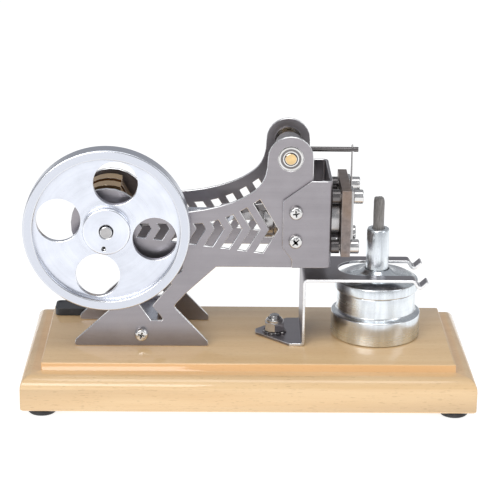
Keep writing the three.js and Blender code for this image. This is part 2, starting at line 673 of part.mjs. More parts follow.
function addFrame() {
  place(engine, 'side_plate_front', sidePlate(), STAINLESS, 0, -PLATE_OUT, 0);
  place(engine, 'side_plate_rear', sidePlate(), STAINLESS, 0, PLATE_IN, 0);
  const [half, end] = [BLOCK_LENGTH / 2, PLATE_IN - GAP];
  const block = box(STANCE_X - half, STANCE_X + half, -end, end, REST, BLOCK_HEIGHT);
  const holes = [];
  for (const side of [-1, 1]) {
    const [near, far] = [end - FOOT_SCREW_LENGTH, end + 1].map((y) => side * y);
    const span = [Math.min(near, far), Math.max(near, far)];
    holes.push(bar(M3 + GAP, ...span, 12, 'y').translate(STANCE_X, 0, FOOT_SCREW_Z));
    const well = bar(M3 + GAP, -1, BLOCK_HEIGHT - BLOCK_ROOF, 12);
    holes.push(well.translate(STANCE_X, side * BASE_SCREW_Y, 0));
  }
  place(engine, 'foot_block', cut(block, ...holes), ALUMINIUM);
  const reach = FOOT_SCREW_LENGTH + PLATE - GAP;
  addPanScrew('foot_screw_front', STANCE_X, -1, PLATE_OUT + REST, FOOT_SCREW_Z, reach);
  addPanScrew('foot_screw_rear', STANCE_X, 1, PLATE_OUT + REST, FOOT_SCREW_Z, reach);
  const [head, tip] = [BASE_SCREW_SUNK - REST - BASE_HEIGHT, BLOCK_HEIGHT - BLOCK_ROOF - GAP];
  const baseScrew = [[0, head - PAN_HEIGHT], [BASE_SCREW_HEAD, head - PAN_HEIGHT], [BASE_SCREW_HEAD, head]];
  baseScrew.push([M3, head], [M3, tip], [0, tip]);
  for (const [end_, side] of [['front', -1], ['rear', 1]]) {
    place(engine, `base_screw_${end_}`, turned(baseScrew, 12), STEEL, STANCE_X, side * BASE_SCREW_Y, 0);
  }
}

// ---------------------------------------------------------------- cylinder-head bracket

function headBracket() {
  const mid = FLANGE_IN + SHEET / 2;
  const web = WEB_X - SHEET / 2;
  const path = [[FLANGE_LEFT, -mid], [web, -mid], [web, mid], [FLANGE_LEFT, mid]];
  const bent = roundPath(path.map(([x, y]) => new THREE.Vector2(x, y)), BEND + SHEET / 2);
  const channel = slabZ(ribbon(bent, SHEET), FLANGE_BOTTOM, FLANGE_TOP);
  const reach = FLANGE_OUT + 1;
  const [shoulder, topX] = [FLANGE_TOP - FLANGE_SLOPE, WEB_X - FLANGE_TOP_LENGTH];
  const upper = [[FLANGE_LEFT - 1, shoulder], [FLANGE_LEFT, shoulder], [topX, FLANGE_TOP]];
  upper.push([topX, FLANGE_TOP + 1], [FLANGE_LEFT - 1, FLANGE_TOP + 1]);
  const [hip, hipX] = [FLANGE_BOTTOM + FLANGE_HIP, FLANGE_LEFT + FLANGE_HIP_LENGTH];
  const lower = [[FLANGE_LEFT - 1, FLANGE_BOTTOM - 1], [hipX, FLANGE_BOTTOM - 1]];
  lower.push([hipX, FLANGE_BOTTOM + FLANGE_HIP_STEP], [FLANGE_LEFT, hip], [FLANGE_LEFT - 1, hip]);
  const tools = [slabY(polygon(upper), -reach, reach), slabY(polygon(lower), -reach, reach)];
  for (const side of [-1, 1]) {
    const z = AXIS_Z + (side * BRACKET_SCREW_PITCH) / 2;
    tools.push(bar(M3 + GAP, -reach, reach, 12, 'y').translate(BRACKET_SCREW_X, 0, z));
  }
  const [x0, x1] = [WEB_X - SHEET - 1, WEB_X + 1];
  tools.push(bar(CYLINDER_RADIUS + GAP, x0, x1, 24, 'x').translate(0, 0, AXIS_Z));
  for (const [y, z] of headScrewPlaces()) {
    tools.push(bar(M3 + GAP, x0, x1, 12, 'x').translate(0, y, z));
  }
  return cut(channel, ...tools);
}

function headScrewPlaces() {
  const places = [];
  for (const sz of [1, -1]) {
    for (const sy of [-1, 1]) {
      places.push([sy * HEAD_SCREW_Y, AXIS_Z + sz * HEAD_SCREW_Z]);
    }
  }
  return places;
}

function addHeadBracket() {
  place(engine, 'head_bracket', headBracket(), STAINLESS);
  const length = FLANGE_OUT + REST - PLATE_IN + BRACKET_SCREW_PROUD;
  for (const [row, side] of [['front', -1], ['rear', 1]]) {
    for (const [level, sz] of [['upper', 1], ['lower', -1]]) {
      const z = AXIS_Z + (sz * BRACKET_SCREW_PITCH) / 2;
      const name = `bracket_screw_${row}_${level}`;
      addPanScrew(name, BRACKET_SCREW_X, side, FLANGE_OUT + REST, z, length);
    }
  }
}

// ---------------------------------------------------------------- cylinder and head

function addCylinder() {
  const start = CYLINDER_END - CYLINDER_LENGTH;
  const shoulder = WEB_X - SHEET - REST;
  const profile = [[BORE_RADIUS, start], [CYLINDER_RADIUS, start], [CYLINDER_RADIUS, shoulder - COLLAR]];
  const collar = CYLINDER_RADIUS + COLLAR_LIP;
  profile.push([collar, shoulder - COLLAR], [collar, shoulder], [CYLINDER_RADIUS, shoulder]);
  profile.push([CYLINDER_RADIUS, CYLINDER_END], [BORE_RADIUS, CYLINDER_END], [BORE_RADIUS, start]);
  place(engine, 'cylinder', turned(profile, 24, 'x'), STEEL, 0, 0, AXIS_Z);
  const [halfY, halfZ] = [HEAD_SCREW_Y + PORT_PLATE_SIDE, HEAD_SCREW_Z + PORT_PLATE_END];
  const middle = AXIS_Z + PORT_PLATE_RISE;
  const plate = box(PORT_X, PORT_FACE, -halfY, halfY, middle - halfZ, middle + halfZ);
  const holes = [bar(PORT_RADIUS, PORT_X - 1, PORT_FACE + 1, 16, 'x').translate(0, 0, AXIS_Z + PORT_RISE)];
  for (const [y, z] of headScrewPlaces()) {
    holes.push(bar(M3 + GAP, PORT_X - 1, PORT_FACE + 1, 12, 'x').translate(0, y, z));
  }
  place(engine, 'port_plate', cut(plate, ...holes), IRON);
}

// Socket-head cap screw along -X, with the underside of its head at the origin.
function capScrew(length) {
  const profile = [[0, -length], [M3, -length], [M3, 0], [CAP_RADIUS, 0], [CAP_RADIUS, CAP_HEIGHT - 0.3]];
  profile.push([CAP_RADIUS - 0.3, CAP_HEIGHT], [0, CAP_HEIGHT]);
  const socket = bar(HEX_KEY, CAP_HEIGHT / 2, CAP_HEIGHT + 1, 6, 'x');
  return cut(turned(profile, 12, 'x'), socket);
}

function addHeadScrews() {
  const spacer = sleeve(M3 + GAP, STANDOFF_RADIUS, 0, STANDOFF, 12, 'x');
  for (const [y, z] of headScrewPlaces()) {
    const name = `${z > AXIS_Z ? 'upper' : 'lower'}_${y < 0 ? 'front' : 'rear'}`;
    const seat = z > AXIS_Z ? GUIDE_X + GUIDE + REST : PORT_FACE + REST;
    place(engine, `standoff_${name}`, spacer, STEEL, STANDOFF_X, y, z);
    place(engine, `head_screw_${name}`, capScrew(seat - WEB_X + SHEET + 2), NICKEL, seat, y, z);
  }
}

// ---------------------------------------------------------------- valve

function valveGuide() {
  const [top, half] = [AXIS_Z + HEAD_SCREW_Z + GUIDE_CROWN, HEAD_SCREW_Y + GUIDE_SIDE];
  const [way, foot] = [VALVE_WIDTH / 2 + RUN, VALVE_Z - PORT_RADIUS - GUIDE_SLOT_DROP];
  const sheet = box(GUIDE_X, GUIDE_X + GUIDE, -half, half, foot - GUIDE_FOOT, top);
  const tools = [box(GUIDE_X - 1, GUIDE_X + GUIDE + 1, -way, way, foot, top + 1)];
  for (const [y, z] of headScrewPlaces().slice(0, 2)) {
    tools.push(bar(M3 + GAP, GUIDE_X - 1, GUIDE_X + GUIDE + 1, 12, 'x').translate(0, y, z));
  }
  return cut(sheet, ...tools);
}

function addValve() {
  place(engine, 'valve_guide', valveGuide(), STEEL);
  const [half, wide] = [VALVE / 2, VALVE_WIDTH / 2];
  const flap = box(-half, half, -wide, wide, 0, VALVE_HEIGHT);
  const seat = VALVE_HEIGHT - WIRE_SUNK;
  const well = bar(WIRE_RADIUS + WIRE_FIT, seat, VALVE_HEIGHT + 1, 8);
  place(engine, 'valve_plate', cut(flap, well), STEEL, WIRE_X, 0, VALVE_Z);
  const top = ROCKER_Z + ROCKER_ROD + WIRE_PROUD;
  const wire = bar(WIRE_RADIUS, VALVE_Z + seat + WIRE_FIT, top, 8);
  place(engine, 'valve_wire', wire, STEEL, WIRE_X, 0, 0);
}

// ---------------------------------------------------------------- rocker

function bearing() {
  const profile = [[SHAFT + GAP, -PLATE], [BEARING_RADIUS, -PLATE], [BEARING_RADIUS, REST]];
  const rim = BEARING_RADIUS + BEARING_RIM;
  profile.push([rim, REST], [rim, BEARING_LIP], [SHAFT + GAP, BEARING_LIP]);
  profile.push([SHAFT + GAP, -PLATE]);
  return turned(profile, 16, 'y');
}

function addBearings(name, x, z) {
  place(engine, `${name}_bearing_front`, bearing(), NICKEL, x, -PLATE_IN, z);
  const rear = place(engine, `${name}_bearing_rear`, bearing(), NICKEL, x, PLATE_IN, z);
  rear.rotation.z = Math.PI;
}

// A flat link between two eyes, with its first eye at the origin and the second at (x, z).
function link(x, z, eyes, holes, waist, y0, y1) {
  const [length, turn] = [Math.hypot(x, z), Math.atan2(z, x)];
  const outline = circle(0, 0, eyes[0], THREE.Shape);
  const far = circle(length, 0, eyes[1], THREE.Shape);
  const body = polygon([[0, -waist], [length, -waist], [length, waist], [0, waist]]);
  const solid = join(slabY(outline, y0, y1, 9), slabY(far, y0, y1, 7), slabY(body, y0, y1));
  const near = bar(holes[0], y0 - 1, y1 + 1, 16, 'y');
  const second = bar(holes[1], y0 - 1, y1 + 1, 12, 'y').translate(length, 0, 0);
  return fromManifold(toManifold(cut(solid, near, second))).rotateY(-turn);
}

function addRocker() {
  addBearings('rocker', ROCKER_X, ROCKER_Z);
  const end = PLATE_OUT + 0.2;
  place(engine, 'rocker_shaft', bar(SHAFT, -end, end, 14, 'y'), BRASS, ROCKER_X, 0, ROCKER_Z);
  const half = ROCKER_HUB_WIDTH / 2;
  const hub = sleeve(SHAFT + GAP, ROCKER_HUB_RADIUS, -half, half, 18, 'y');
  const socket = bar(ROCKER_ROD + GAP, SHAFT + 0.2, ROCKER_HUB_RADIUS + 1, 10, 'x');
  place(engine, 'rocker_hub', cut(hub, socket), STEEL, ROCKER_X, 0, ROCKER_Z);
  const rodEnd = WIRE_X + ROCKER_ROD_END - ROCKER_X;
  const rod = bar(ROCKER_ROD, SHAFT + 2 * GAP, rodEnd, 12, 'x');
  const eye = bar(WIRE_RADIUS + EYE_CLEAR, -2, 2, 10).translate(WIRE_X - ROCKER_X, 0, 0);
  place(engine, 'rocker_rod', cut(rod, eye), STEEL, ROCKER_X, 0, ROCKER_Z);
  const drop = ROCKER_Z - DROP_PIN_Z;
  const arm = link(0, -drop, [SHAFT + 2, ARM_END], [SHAFT + GAP, 0.1], ARM_WAIST, -DROP_ARM_THICK, 0);
  const pin = bar(DROP_PIN, 0.2 - DROP_ARM_THICK - RUN, 0.8, 12, 'y').translate(0, 0, -drop);
  place(engine, 'drop_arm', join(arm, pin), STEEL, ROCKER_X, -ARM_Y, ROCKER_Z);
}

// ---------------------------------------------------------------- crank, rods and piston

// A crank disc whose side towards the pin is cut back, so that the rest is the counterweight.
function crankDisc() {
  const shape = new THREE.Shape();
  shape.absarc(0, 0, DISC_RADIUS, DISC_CUT, 2 * Math.PI - DISC_CUT, false);
  const [cheek, neck] = [DISC_RADIUS * Math.cos(DISC_CUT), DISC_RADIUS * DISC_NECK];
  shape.lineTo(cheek, -neck);
  shape.absarc(THROW, 0, BIG_END, -Math.PI / 3, Math.PI / 3, false);
  shape.lineTo(cheek, neck);
  shape.holes.push(circle(0, 0, SHAFT + GAP));
  shape.holes.push(circle(THROW, 0, CRANK_PIN + GAP));
  return slabY(shape, 0, DISC, 9);
}

function addCrank() {
  addBearings('crank', CRANK_X, AXIS_Z);
  const [front, rear] = [WHEEL_FRONT - HUB_PROUD - SHAFT_PROUD, PLATE_OUT + 1.2];
  place(engine, 'crankshaft_front', bar(SHAFT, front, -DISC_IN, 14, 'y'), STEEL, CRANK_X, 0, AXIS_Z);
  place(engine, 'crankshaft_rear', bar(SHAFT, DISC_IN, rear, 14, 'y'), STEEL, CRANK_X, 0, AXIS_Z);
  place(engine, 'crank_disc_front', crankDisc(), BRASS, CRANK_X, -DISC_OUT, AXIS_Z);
  place(engine, 'crank_disc_rear', crankDisc(), BRASS, CRANK_X, DISC_IN, AXIS_Z);
  const pin = bar(CRANK_PIN, -DISC_OUT, DISC_OUT, 14, 'y');
  place(engine, 'crank_pin', pin, STEEL, CRANK_X + THROW, 0, AXIS_Z);
  const half = CON_ROD / 2;
  const holes = [CRANK_PIN + GAP, WRIST_PIN + GAP];
  const rod = link(CON_ROD_LENGTH, 0, [BIG_END, SMALL_END], holes, CON_ROD_WAIST, -half, half);
  place(engine, 'con_rod', rod, ALUMINIUM, CRANK_X + THROW, 0, AXIS_Z);
}

function addPiston() {
  const skirt = CROWN_X - PISTON_LENGTH;
  const body = bar(BORE_RADIUS - PISTON_GAP, skirt, CROWN_X, 20, 'x');
  const [y0, y1] = [TONGUE_Y, TONGUE_Y + TONGUE];
  const tongue = box(WRIST_X, skirt + 1, y0, y1, -SMALL_END, SMALL_END);
  const nose = bar(SMALL_END, y0, y1, 20, 'y').translate(WRIST_X, 0, 0);
  const eye = bar(WRIST_PIN + GAP, y0 - 1, y1 + 1, 14, 'y').translate(WRIST_X, 0, 0);
  const piston = cut(join(body, tongue, nose), eye);
  place(engine, 'piston', piston, STEEL, 0, 0, AXIS_Z);
  place(engine, 'wrist_pin', bar(WRIST_PIN, y0, y1 + 1, 12, 'y'), STEEL, WRIST_X, 0, AXIS_Z);
}

function addValveDrive() {
  const disc = bar(ECCENTRIC_RADIUS, -ECCENTRIC, 0, 18, 'y').translate(0, 0, -ECCENTRICITY);
  const bore = bar(SHAFT + GAP, -ECCENTRIC - 1, 1, 14, 'y');
  place(engine, 'eccentric', cut(disc, bore), BRASS, CRANK_X, -ECCENTRIC_Y, AXIS_Z);
  const [x, z] = [ROCKER_X - CRANK_X, DROP_PIN_Z - (AXIS_Z - ECCENTRICITY)];
  const strap = ECCENTRIC_RADIUS + GAP;
  const rod = link(x, z, [strap + STRAP, ARM_END], [strap, DROP_PIN + GAP], PUSH_ROD_WAIST, -PUSH_ROD, 0);
  place(engine, 'push_rod', rod, STEEL, CRANK_X, -PUSH_ROD_Y, AXIS_Z - ECCENTRICITY);
}

// ---------------------------------------------------------------- flywheel

function addFlywheel() {
  const [front, back, web] = [WHEEL_FRONT, WHEEL_BACK, WHEEL_FRONT + RECESS];
  const inner = WHEEL_INNER;
  const face = front - HUB_PROUD;
  const profile = [[SHAFT + GAP, face], [HUB_RADIUS - 0.4, face], [HUB_RADIUS, face + 0.4]];
  profile.push([HUB_RADIUS, web], [inner - 0.5, web], [inner, web - 0.5]);
  profile.push([inner, front + 0.3], [inner + 0.3, front]);
  profile.push([WHEEL_RADIUS - 0.4, front], [WHEEL_RADIUS, front + 0.4], [WHEEL_RADIUS, back - 0.4]);
  profile.push([WHEEL_RADIUS - 0.4, back], [inner, back], [inner, back - RECESS]);
  profile.push([HUB_RADIUS, back - RECESS], [HUB_RADIUS, back], [SHAFT + GAP, back], [SHAFT + GAP, face]);
  const tools = [];
  for (let i = 0; i < WHEEL_HOLES; i += 1) {
    const turn = Math.PI / 2 + WHEEL_TURN + (i * 2 * Math.PI) / WHEEL_HOLES;
    const [x, z] = [WHEEL_HOLE_CIRCLE * Math.cos(turn), WHEEL_HOLE_CIRCLE * Math.sin(turn)];
    tools.push(bar(WHEEL_HOLE, front - 1, back + 1, 20, 'y').translate(x, 0, z));
  }
  const grubY = front + WHEEL / 2;
  const well = bar(GRUB + 0.2, SHAFT + 0.1, HUB_RADIUS + 1, 12).translate(0, grubY, 0);
  tools.push(well);
  place(engine, 'flywheel', cut(turned(profile, 48, 'y'), ...tools), ALUMINIUM, CRANK_X, 0, AXIS_Z);
  const grub = bar(GRUB, SHAFT + GAP, SHAFT + GAP + GRUB_LENGTH, 12);
  const socket = bar(GRUB / 2, SHAFT + GAP + GRUB_LENGTH - 1.2, HUB_RADIUS + 1, 6);
  place(engine, 'flywheel_grub_screw', cut(grub, socket), STEEL, CRANK_X, grubY, AXIS_Z);
}

// ---------------------------------------------------------------- burner bracket

function standOutline() {
  const [low, high] = [REST + SHEET / 2, STAND_TOP - SHEET / 2];
  const web = STAND_WEB_X - SHEET / 2;
  const path = [[STAND_FOOT_X, low], [web, low], [web, high], [STAND_END, high]];
  path.push([STAND_END + TIP_OUT, high - TIP_DROP]);
  path.push([STAND_END + TIP_OUT + TIP_REACH, high - TIP_DROP + TIP_RISE]);
  return ribbon(roundPath(path.map(([x, z]) => new THREE.Vector2(x, z)), STAND_BEND, 3), SHEET);
}

function stand() {
  const half = STAND_WIDTH / 2;
  const sheet = slabY(standOutline(), -half, half);
  const tools = [];
  const [end, slot] = [STAND_END + TIP_OUT + TIP_REACH + 2, STAND_SLOT / 2];
  const mouth = new THREE.Shape();
  mouth.absarc(STAND_SLOT_X + slot, 0, slot, Math.PI / 2, 1.5 * Math.PI, false);
  mouth.lineTo(end, -slot);
  mouth.lineTo(end, slot);
  tools.push(slabZ(mouth, STAND_TOP - SHEET - TIP_DROP - 2, STAND_TOP + 2, 10));
  for (const side of [-1, 1]) {
    const [nose, outer] = [(side * STAND_NOSE) / 2, side * (half + 1)];
    const wedge = [[STAND_FOOT_X - 1, nose], [STAND_FOOT_X, nose], [STAND_CHEEK_X, side * half]];
    wedge.push([STAND_CHEEK_X, outer], [STAND_FOOT_X - 1, outer]);
    tools.push(slabZ(polygon(side > 0 ? wedge : wedge.reverse()), -1, SHEET + 1));
  }
  tools.push(bar(M5 + GAP, -1, SHEET + 1, 16).translate(STAND_BOLT_X, STAND_BOLT_Y, 0));
  return cut(sheet, ...tools);
}

function toothedWasher() {
  const shape = new THREE.Shape();
  for (let i = 0; i < 2 * WASHER_TEETH; i += 1) {
    const turn = (i * Math.PI) / WASHER_TEETH;
    const radius = i % 2 ? WASHER_RADIUS - WASHER_TOOTH : WASHER_RADIUS;
    const half = Math.PI / WASHER_TEETH / 2.6;
    for (const edge of [-half, half]) {
      const [x, y] = [radius * Math.cos(turn + edge), radius * Math.sin(turn + edge)];
      if (i === 0 && edge < 0) {
        shape.moveTo(x, y);
      } else {
        shape.lineTo(x, y);
      }
    }
  }
  shape.holes.push(circle(0, 0, M5 + GAP));
  return slabZ(shape, 0, WASHER, 8);
}

function lockNut() {
  const corner = NUT_FLATS / Math.sqrt(3);
  const hex = sleeve(M5 + GAP, corner, 0, NUT_HEX, 6);
  const collar = NUT_FLATS / 2 - NUT_SHOULDER;
  const [root, top] = [NUT_HEX - NUT_LAP, NUT_HEX + NUT_COLLAR];
  const dome = [[M5 + GAP, root], [collar, root], [collar, NUT_HEX + NUT_COLLAR / 2]];
  dome.push([collar - NUT_DOME, top], [M5 + GAP, top], [M5 + GAP, root]);
  return cut(join(hex, turned(dome, 12)), bar(M5 + GAP, -1, top + 1, 12));
}

function addStand() {
  place(engine, 'burner_bracket', stand(), STAINLESS);
  const washerZ = 2 * REST + SHEET;
  const nutZ = washerZ + WASHER + REST;
  place(engine, 'toothed_washer', toothedWasher(), STEEL, STAND_BOLT_X, STAND_BOLT_Y, washerZ);
  place(engine, 'lock_nut', lockNut(), NYLON, STAND_BOLT_X, STAND_BOLT_Y, nutZ);
  const head = BOLT_HEAD_HEIGHT + 1 - REST - BASE_HEIGHT;
  const tip = nutZ + NUT_HEX + NUT_COLLAR + BOLT_PROUD;
  const profile = [[0, head - BOLT_HEAD_HEIGHT], [BOLT_HEAD, head - BOLT_HEAD_HEIGHT], [BOLT_HEAD, head]];
  profile.push([M5, head], [M5, tip - 0.6], [M5 - 0.6, tip], [0, tip]);
  place(engine, 'bracket_bolt', turned(profile, 16), STEEL, STAND_BOLT_X, STAND_BOLT_Y, 0);
}

// ---------------------------------------------------------------- burner

function addBurner() {
  const burner = new THREE.Group();
  burner.position.set(BURNER_X, BURNER_Y, REST);
  engine.add(burner);
  const inner = NECK_RADIUS - TANK_WALL;
  const tank = [[0, 0], [TANK_RADIUS - 0.8, 0], [TANK_RADIUS, 0.8], [TANK_RADIUS, TANK_HEIGHT]];
  tank.push([NECK_RADIUS, TANK_HEIGHT + 1], [NECK_RADIUS, NECK_TOP], [inner, NECK_TOP]);
  tank.push([inner, TANK_WALL], [0, TANK_WALL]);
  place(burner, 'burner_tank', turned(tank, 32), ALUMINIUM);
  const hole = TUBE_RADIUS + GAP;
  const plug = inner - GAP;
  const lid = [[hole, CAP_BASE - CAP_SKIRT], [plug, CAP_BASE - CAP_SKIRT], [plug, CAP_BASE]];
  lid.push([CAP_BAND_RADIUS, CAP_BASE], [CAP_BAND_RADIUS, CAP_BASE + CAP_BAND]);
  lid.push([CAP_CROWN_RADIUS, CAP_TOP], [TUBE_RADIUS + CAP_FLARE, CAP_TOP + CAP_FLARE_RISE]);
  lid.push([hole + CAP_COLLAR, CAP_TOP + CAP_COLLAR_RISE], [hole, CAP_TOP + CAP_COLLAR_RISE]);
  lid.push([hole, CAP_BASE - CAP_SKIRT]);
  const vent = bar(VENT_RADIUS, CAP_BASE - CAP_SKIRT - 1, CAP_TOP + 1, 8);
  vent.translate(-CAP_CROWN_RADIUS * 0.85, CAP_CROWN_RADIUS * 0.3, 0);
  place(burner, 'burner_cap', cut(turned(lid, 32), vent), ALUMINIUM);
  const [bore, low] = [WICK_RADIUS + GAP, CAP_BASE - TUBE_DEPTH];
  const tube = [[bore, low], [TUBE_RADIUS, low], [TUBE_RADIUS, TUBE_TOP - 0.5]];
  tube.push([TUBE_RADIUS - 0.5, TUBE_TOP], [bore, TUBE_TOP], [bore, low]);
  place(burner, 'wick_tube', turned(tube, 18), ALUMINIUM);
  const wickTop = TUBE_TOP + WICK_PROUD;
  place(burner, 'wick', bar(WICK_RADIUS, TANK_WALL + GAP, wickTop, 16), FELT);
}

addBase();
addFrame();
addHeadBracket();
addCylinder();
addHeadScrews();
addValve();
addRocker();
addCrank();
addPiston();
addValveDrive();
addFlywheel();
addStand();
addBurner();

export default model;
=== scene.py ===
"""Looks of a flame-licker engine model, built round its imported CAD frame.

Lengths are in metres. The points of a profile are (radius, height) in millimetres.
"""

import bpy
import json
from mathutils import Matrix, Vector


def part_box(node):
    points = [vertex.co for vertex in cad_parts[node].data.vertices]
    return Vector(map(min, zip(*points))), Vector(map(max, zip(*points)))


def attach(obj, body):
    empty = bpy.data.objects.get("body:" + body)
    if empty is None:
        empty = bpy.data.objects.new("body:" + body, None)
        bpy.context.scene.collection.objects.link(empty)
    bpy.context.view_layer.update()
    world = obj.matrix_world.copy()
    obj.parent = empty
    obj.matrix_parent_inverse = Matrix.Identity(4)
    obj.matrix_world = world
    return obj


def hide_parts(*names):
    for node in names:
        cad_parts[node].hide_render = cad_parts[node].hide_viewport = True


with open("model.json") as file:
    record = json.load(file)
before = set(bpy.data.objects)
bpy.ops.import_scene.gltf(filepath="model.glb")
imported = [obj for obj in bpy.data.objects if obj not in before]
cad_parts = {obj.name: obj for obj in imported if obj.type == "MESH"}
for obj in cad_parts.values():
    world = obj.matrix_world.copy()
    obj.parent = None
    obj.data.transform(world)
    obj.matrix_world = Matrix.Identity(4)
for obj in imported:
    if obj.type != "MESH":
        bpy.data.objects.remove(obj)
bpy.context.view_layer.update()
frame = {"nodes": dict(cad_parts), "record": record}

import json
import math

import bmesh
import bpy
from bpy.props import FloatProperty, FloatVectorProperty, IntProperty, PointerProperty
from mathutils import Matrix, Vector, noise

bl_info = {
    "name": "Flame-licker engine model",
    "version": (1, 0, 0),
    "blender": (4, 5, 0),
    "location": "3D View > Sidebar > Engine",
    "description": "Builds the finished pieces of a small flame-licker engine round its CAD frame",
    "category": "Object",
}

MM = 0.001
SHARP = math.radians(33)  # edges that turn more than this are eased, and shaded as edges
FLAT = math.radians(4)  # the same, where two materials meet
COPLANAR = math.radians(0.6)  # CAD triangles that turn less than this are one face
MERGE = 1e-6  # points nearer than this are one
LEVEL = 1e-7  # heights nearer than this are the same
AXES = {"X": Vector((1, 0, 0)), "Y": Vector((0, 1, 0)), "Z": Vector((0, 0, 1))}

bodies = frame["record"]["behaviour"]["bodies"]
BODY_OF = {node: body for body, nodes in bodies.items() for node in nodes}


# ---------------------------------------------------------------- settings


def length_setting(name, description, default, low, high):
    """A setting that is a length in metres."""
    return FloatProperty(
        name=name, description=description, default=default, min=low, max=high,
        unit="LENGTH", precision=5,
    )


def colour_setting(name, description, default):
    """A setting that is a linear colour."""
    return FloatVectorProperty(
        name=name, description=description, default=default, min=0, max=1, subtype="COLOR",
    )


class EngineSizes(bpy.types.PropertyGroup):
    """Sizes of the finish that a user would change."""

    ease: length_setting(
        "Eased edge", "Unit of the eased edges: each piece's edges are a few times this wide",
        0.0001, 0.00002, 0.0005,
    )
    wood_ease: length_setting(
        "Wood edge", "Radius of the sanded edges of the wooden base", 0.0005, 0.0001, 0.002,
    )
    tool_mark: length_setting(
        "Turning marks", "Distance between the marks that the lathe left",
        0.00028, 0.00005, 0.002,
    )
    thread_pitch: length_setting(
        "Thread pitch", "Pitch of the thread on the burner bracket's bolt",
        0.0008, 0.0004, 0.0015,
    )
    segments: IntProperty(
        name="Segments", description="Sides of a full turn on the turned pieces",
        default=96, min=24, max=192,
    )
    lens: FloatProperty(
        name="Lens", description="Focal length of the camera",
        default=129.3, min=20, max=400, unit="CAMERA",
    )


class EngineColours(bpy.types.PropertyGroup):
    """Colours of the materials."""

    wood_light: colour_setting("Wood, light", "Early wood", (0.82, 0.585, 0.325))
    wood_dark: colour_setting("Wood, dark", "Late wood and flecks", (0.66, 0.395, 0.17))
    wood_step: colour_setting("Wood, step", "Lacquer that gathered on the step's edge", (0.86, 0.42, 0.13))
    stainless: colour_setting("Stainless", "Brushed sheet of the plates and brackets", (0.345, 0.325, 0.345))
    aluminium: colour_setting("Aluminium", "Turned and polished aluminium", (0.76, 0.79, 0.87))
    polished: colour_setting("Polished aluminium", "Burner", (0.89, 0.94, 1.0))
    nickel: colour_setting("Nickel", "Plated screws, nut and bearings", (0.73, 0.72, 0.71))
    steel: colour_setting("Steel", "Machined steel", (0.50, 0.49, 0.49))
    brass: colour_setting("Brass", "Rocker shaft", (0.80, 0.58, 0.30))
    bronze: colour_setting("Aged brass", "Crank discs and eccentric, between the plates", (0.66, 0.43, 0.20))
    # On the rocker rod this dark colour is painted reflection: the dark surroundings mirrored in the
    # polished rod.
    dark_steel: colour_setting(
        "Dark steel", "Blackened spacers, washer and rocker rod", (0.17, 0.16, 0.16),
    )
    iron: colour_setting("Iron", "Heat-browned port plate", (0.25, 0.215, 0.205))
    scale: colour_setting("Scale", "Oxide that the flame left on the port plate", (0.30, 0.20, 0.13))
    felt: colour_setting("Wick", "Used felt wick", (0.19, 0.17, 0.155))
    rubber: colour_setting("Rubber", "Feet", (0.018, 0.018, 0.02))
    plastic: colour_setting("Plastic", "Plate at the rear of the base", (0.012, 0.014, 0.02))


def sizes():
    return bpy.context.scene.engine_sizes


def colours():
    return bpy.context.scene.engine_colours


def colour_of(key):
    return tuple(getattr(colours(), key))


# ---------------------------------------------------------------- shader nodes


class Wire:
    """A shader socket that arithmetic can be written with."""

    def __init__(self, shader, socket):
        self.shader, self.socket = shader, socket

    def __add__(self, other):
        return self.shader.maths("ADD", self, other)

    __radd__ = __add__

    def __sub__(self, other):
        return self.shader.maths("SUBTRACT", self, other)

    def __rsub__(self, other):
        return self.shader.maths("SUBTRACT", other, self)

    def __mul__(self, other):
        return self.shader.maths("MULTIPLY", self, other)

    __rmul__ = __mul__

    def __truediv__(self, other):
        return self.shader.maths("DIVIDE", self, other)

    def __rtruediv__(self, other):
        return self.shader.maths("DIVIDE", other, self)

    def __pow__(self, other):
        return self.shader.maths("POWER", self, other)

    def output(self, name):
        return Wire(self.shader, self.socket.node.outputs[name])


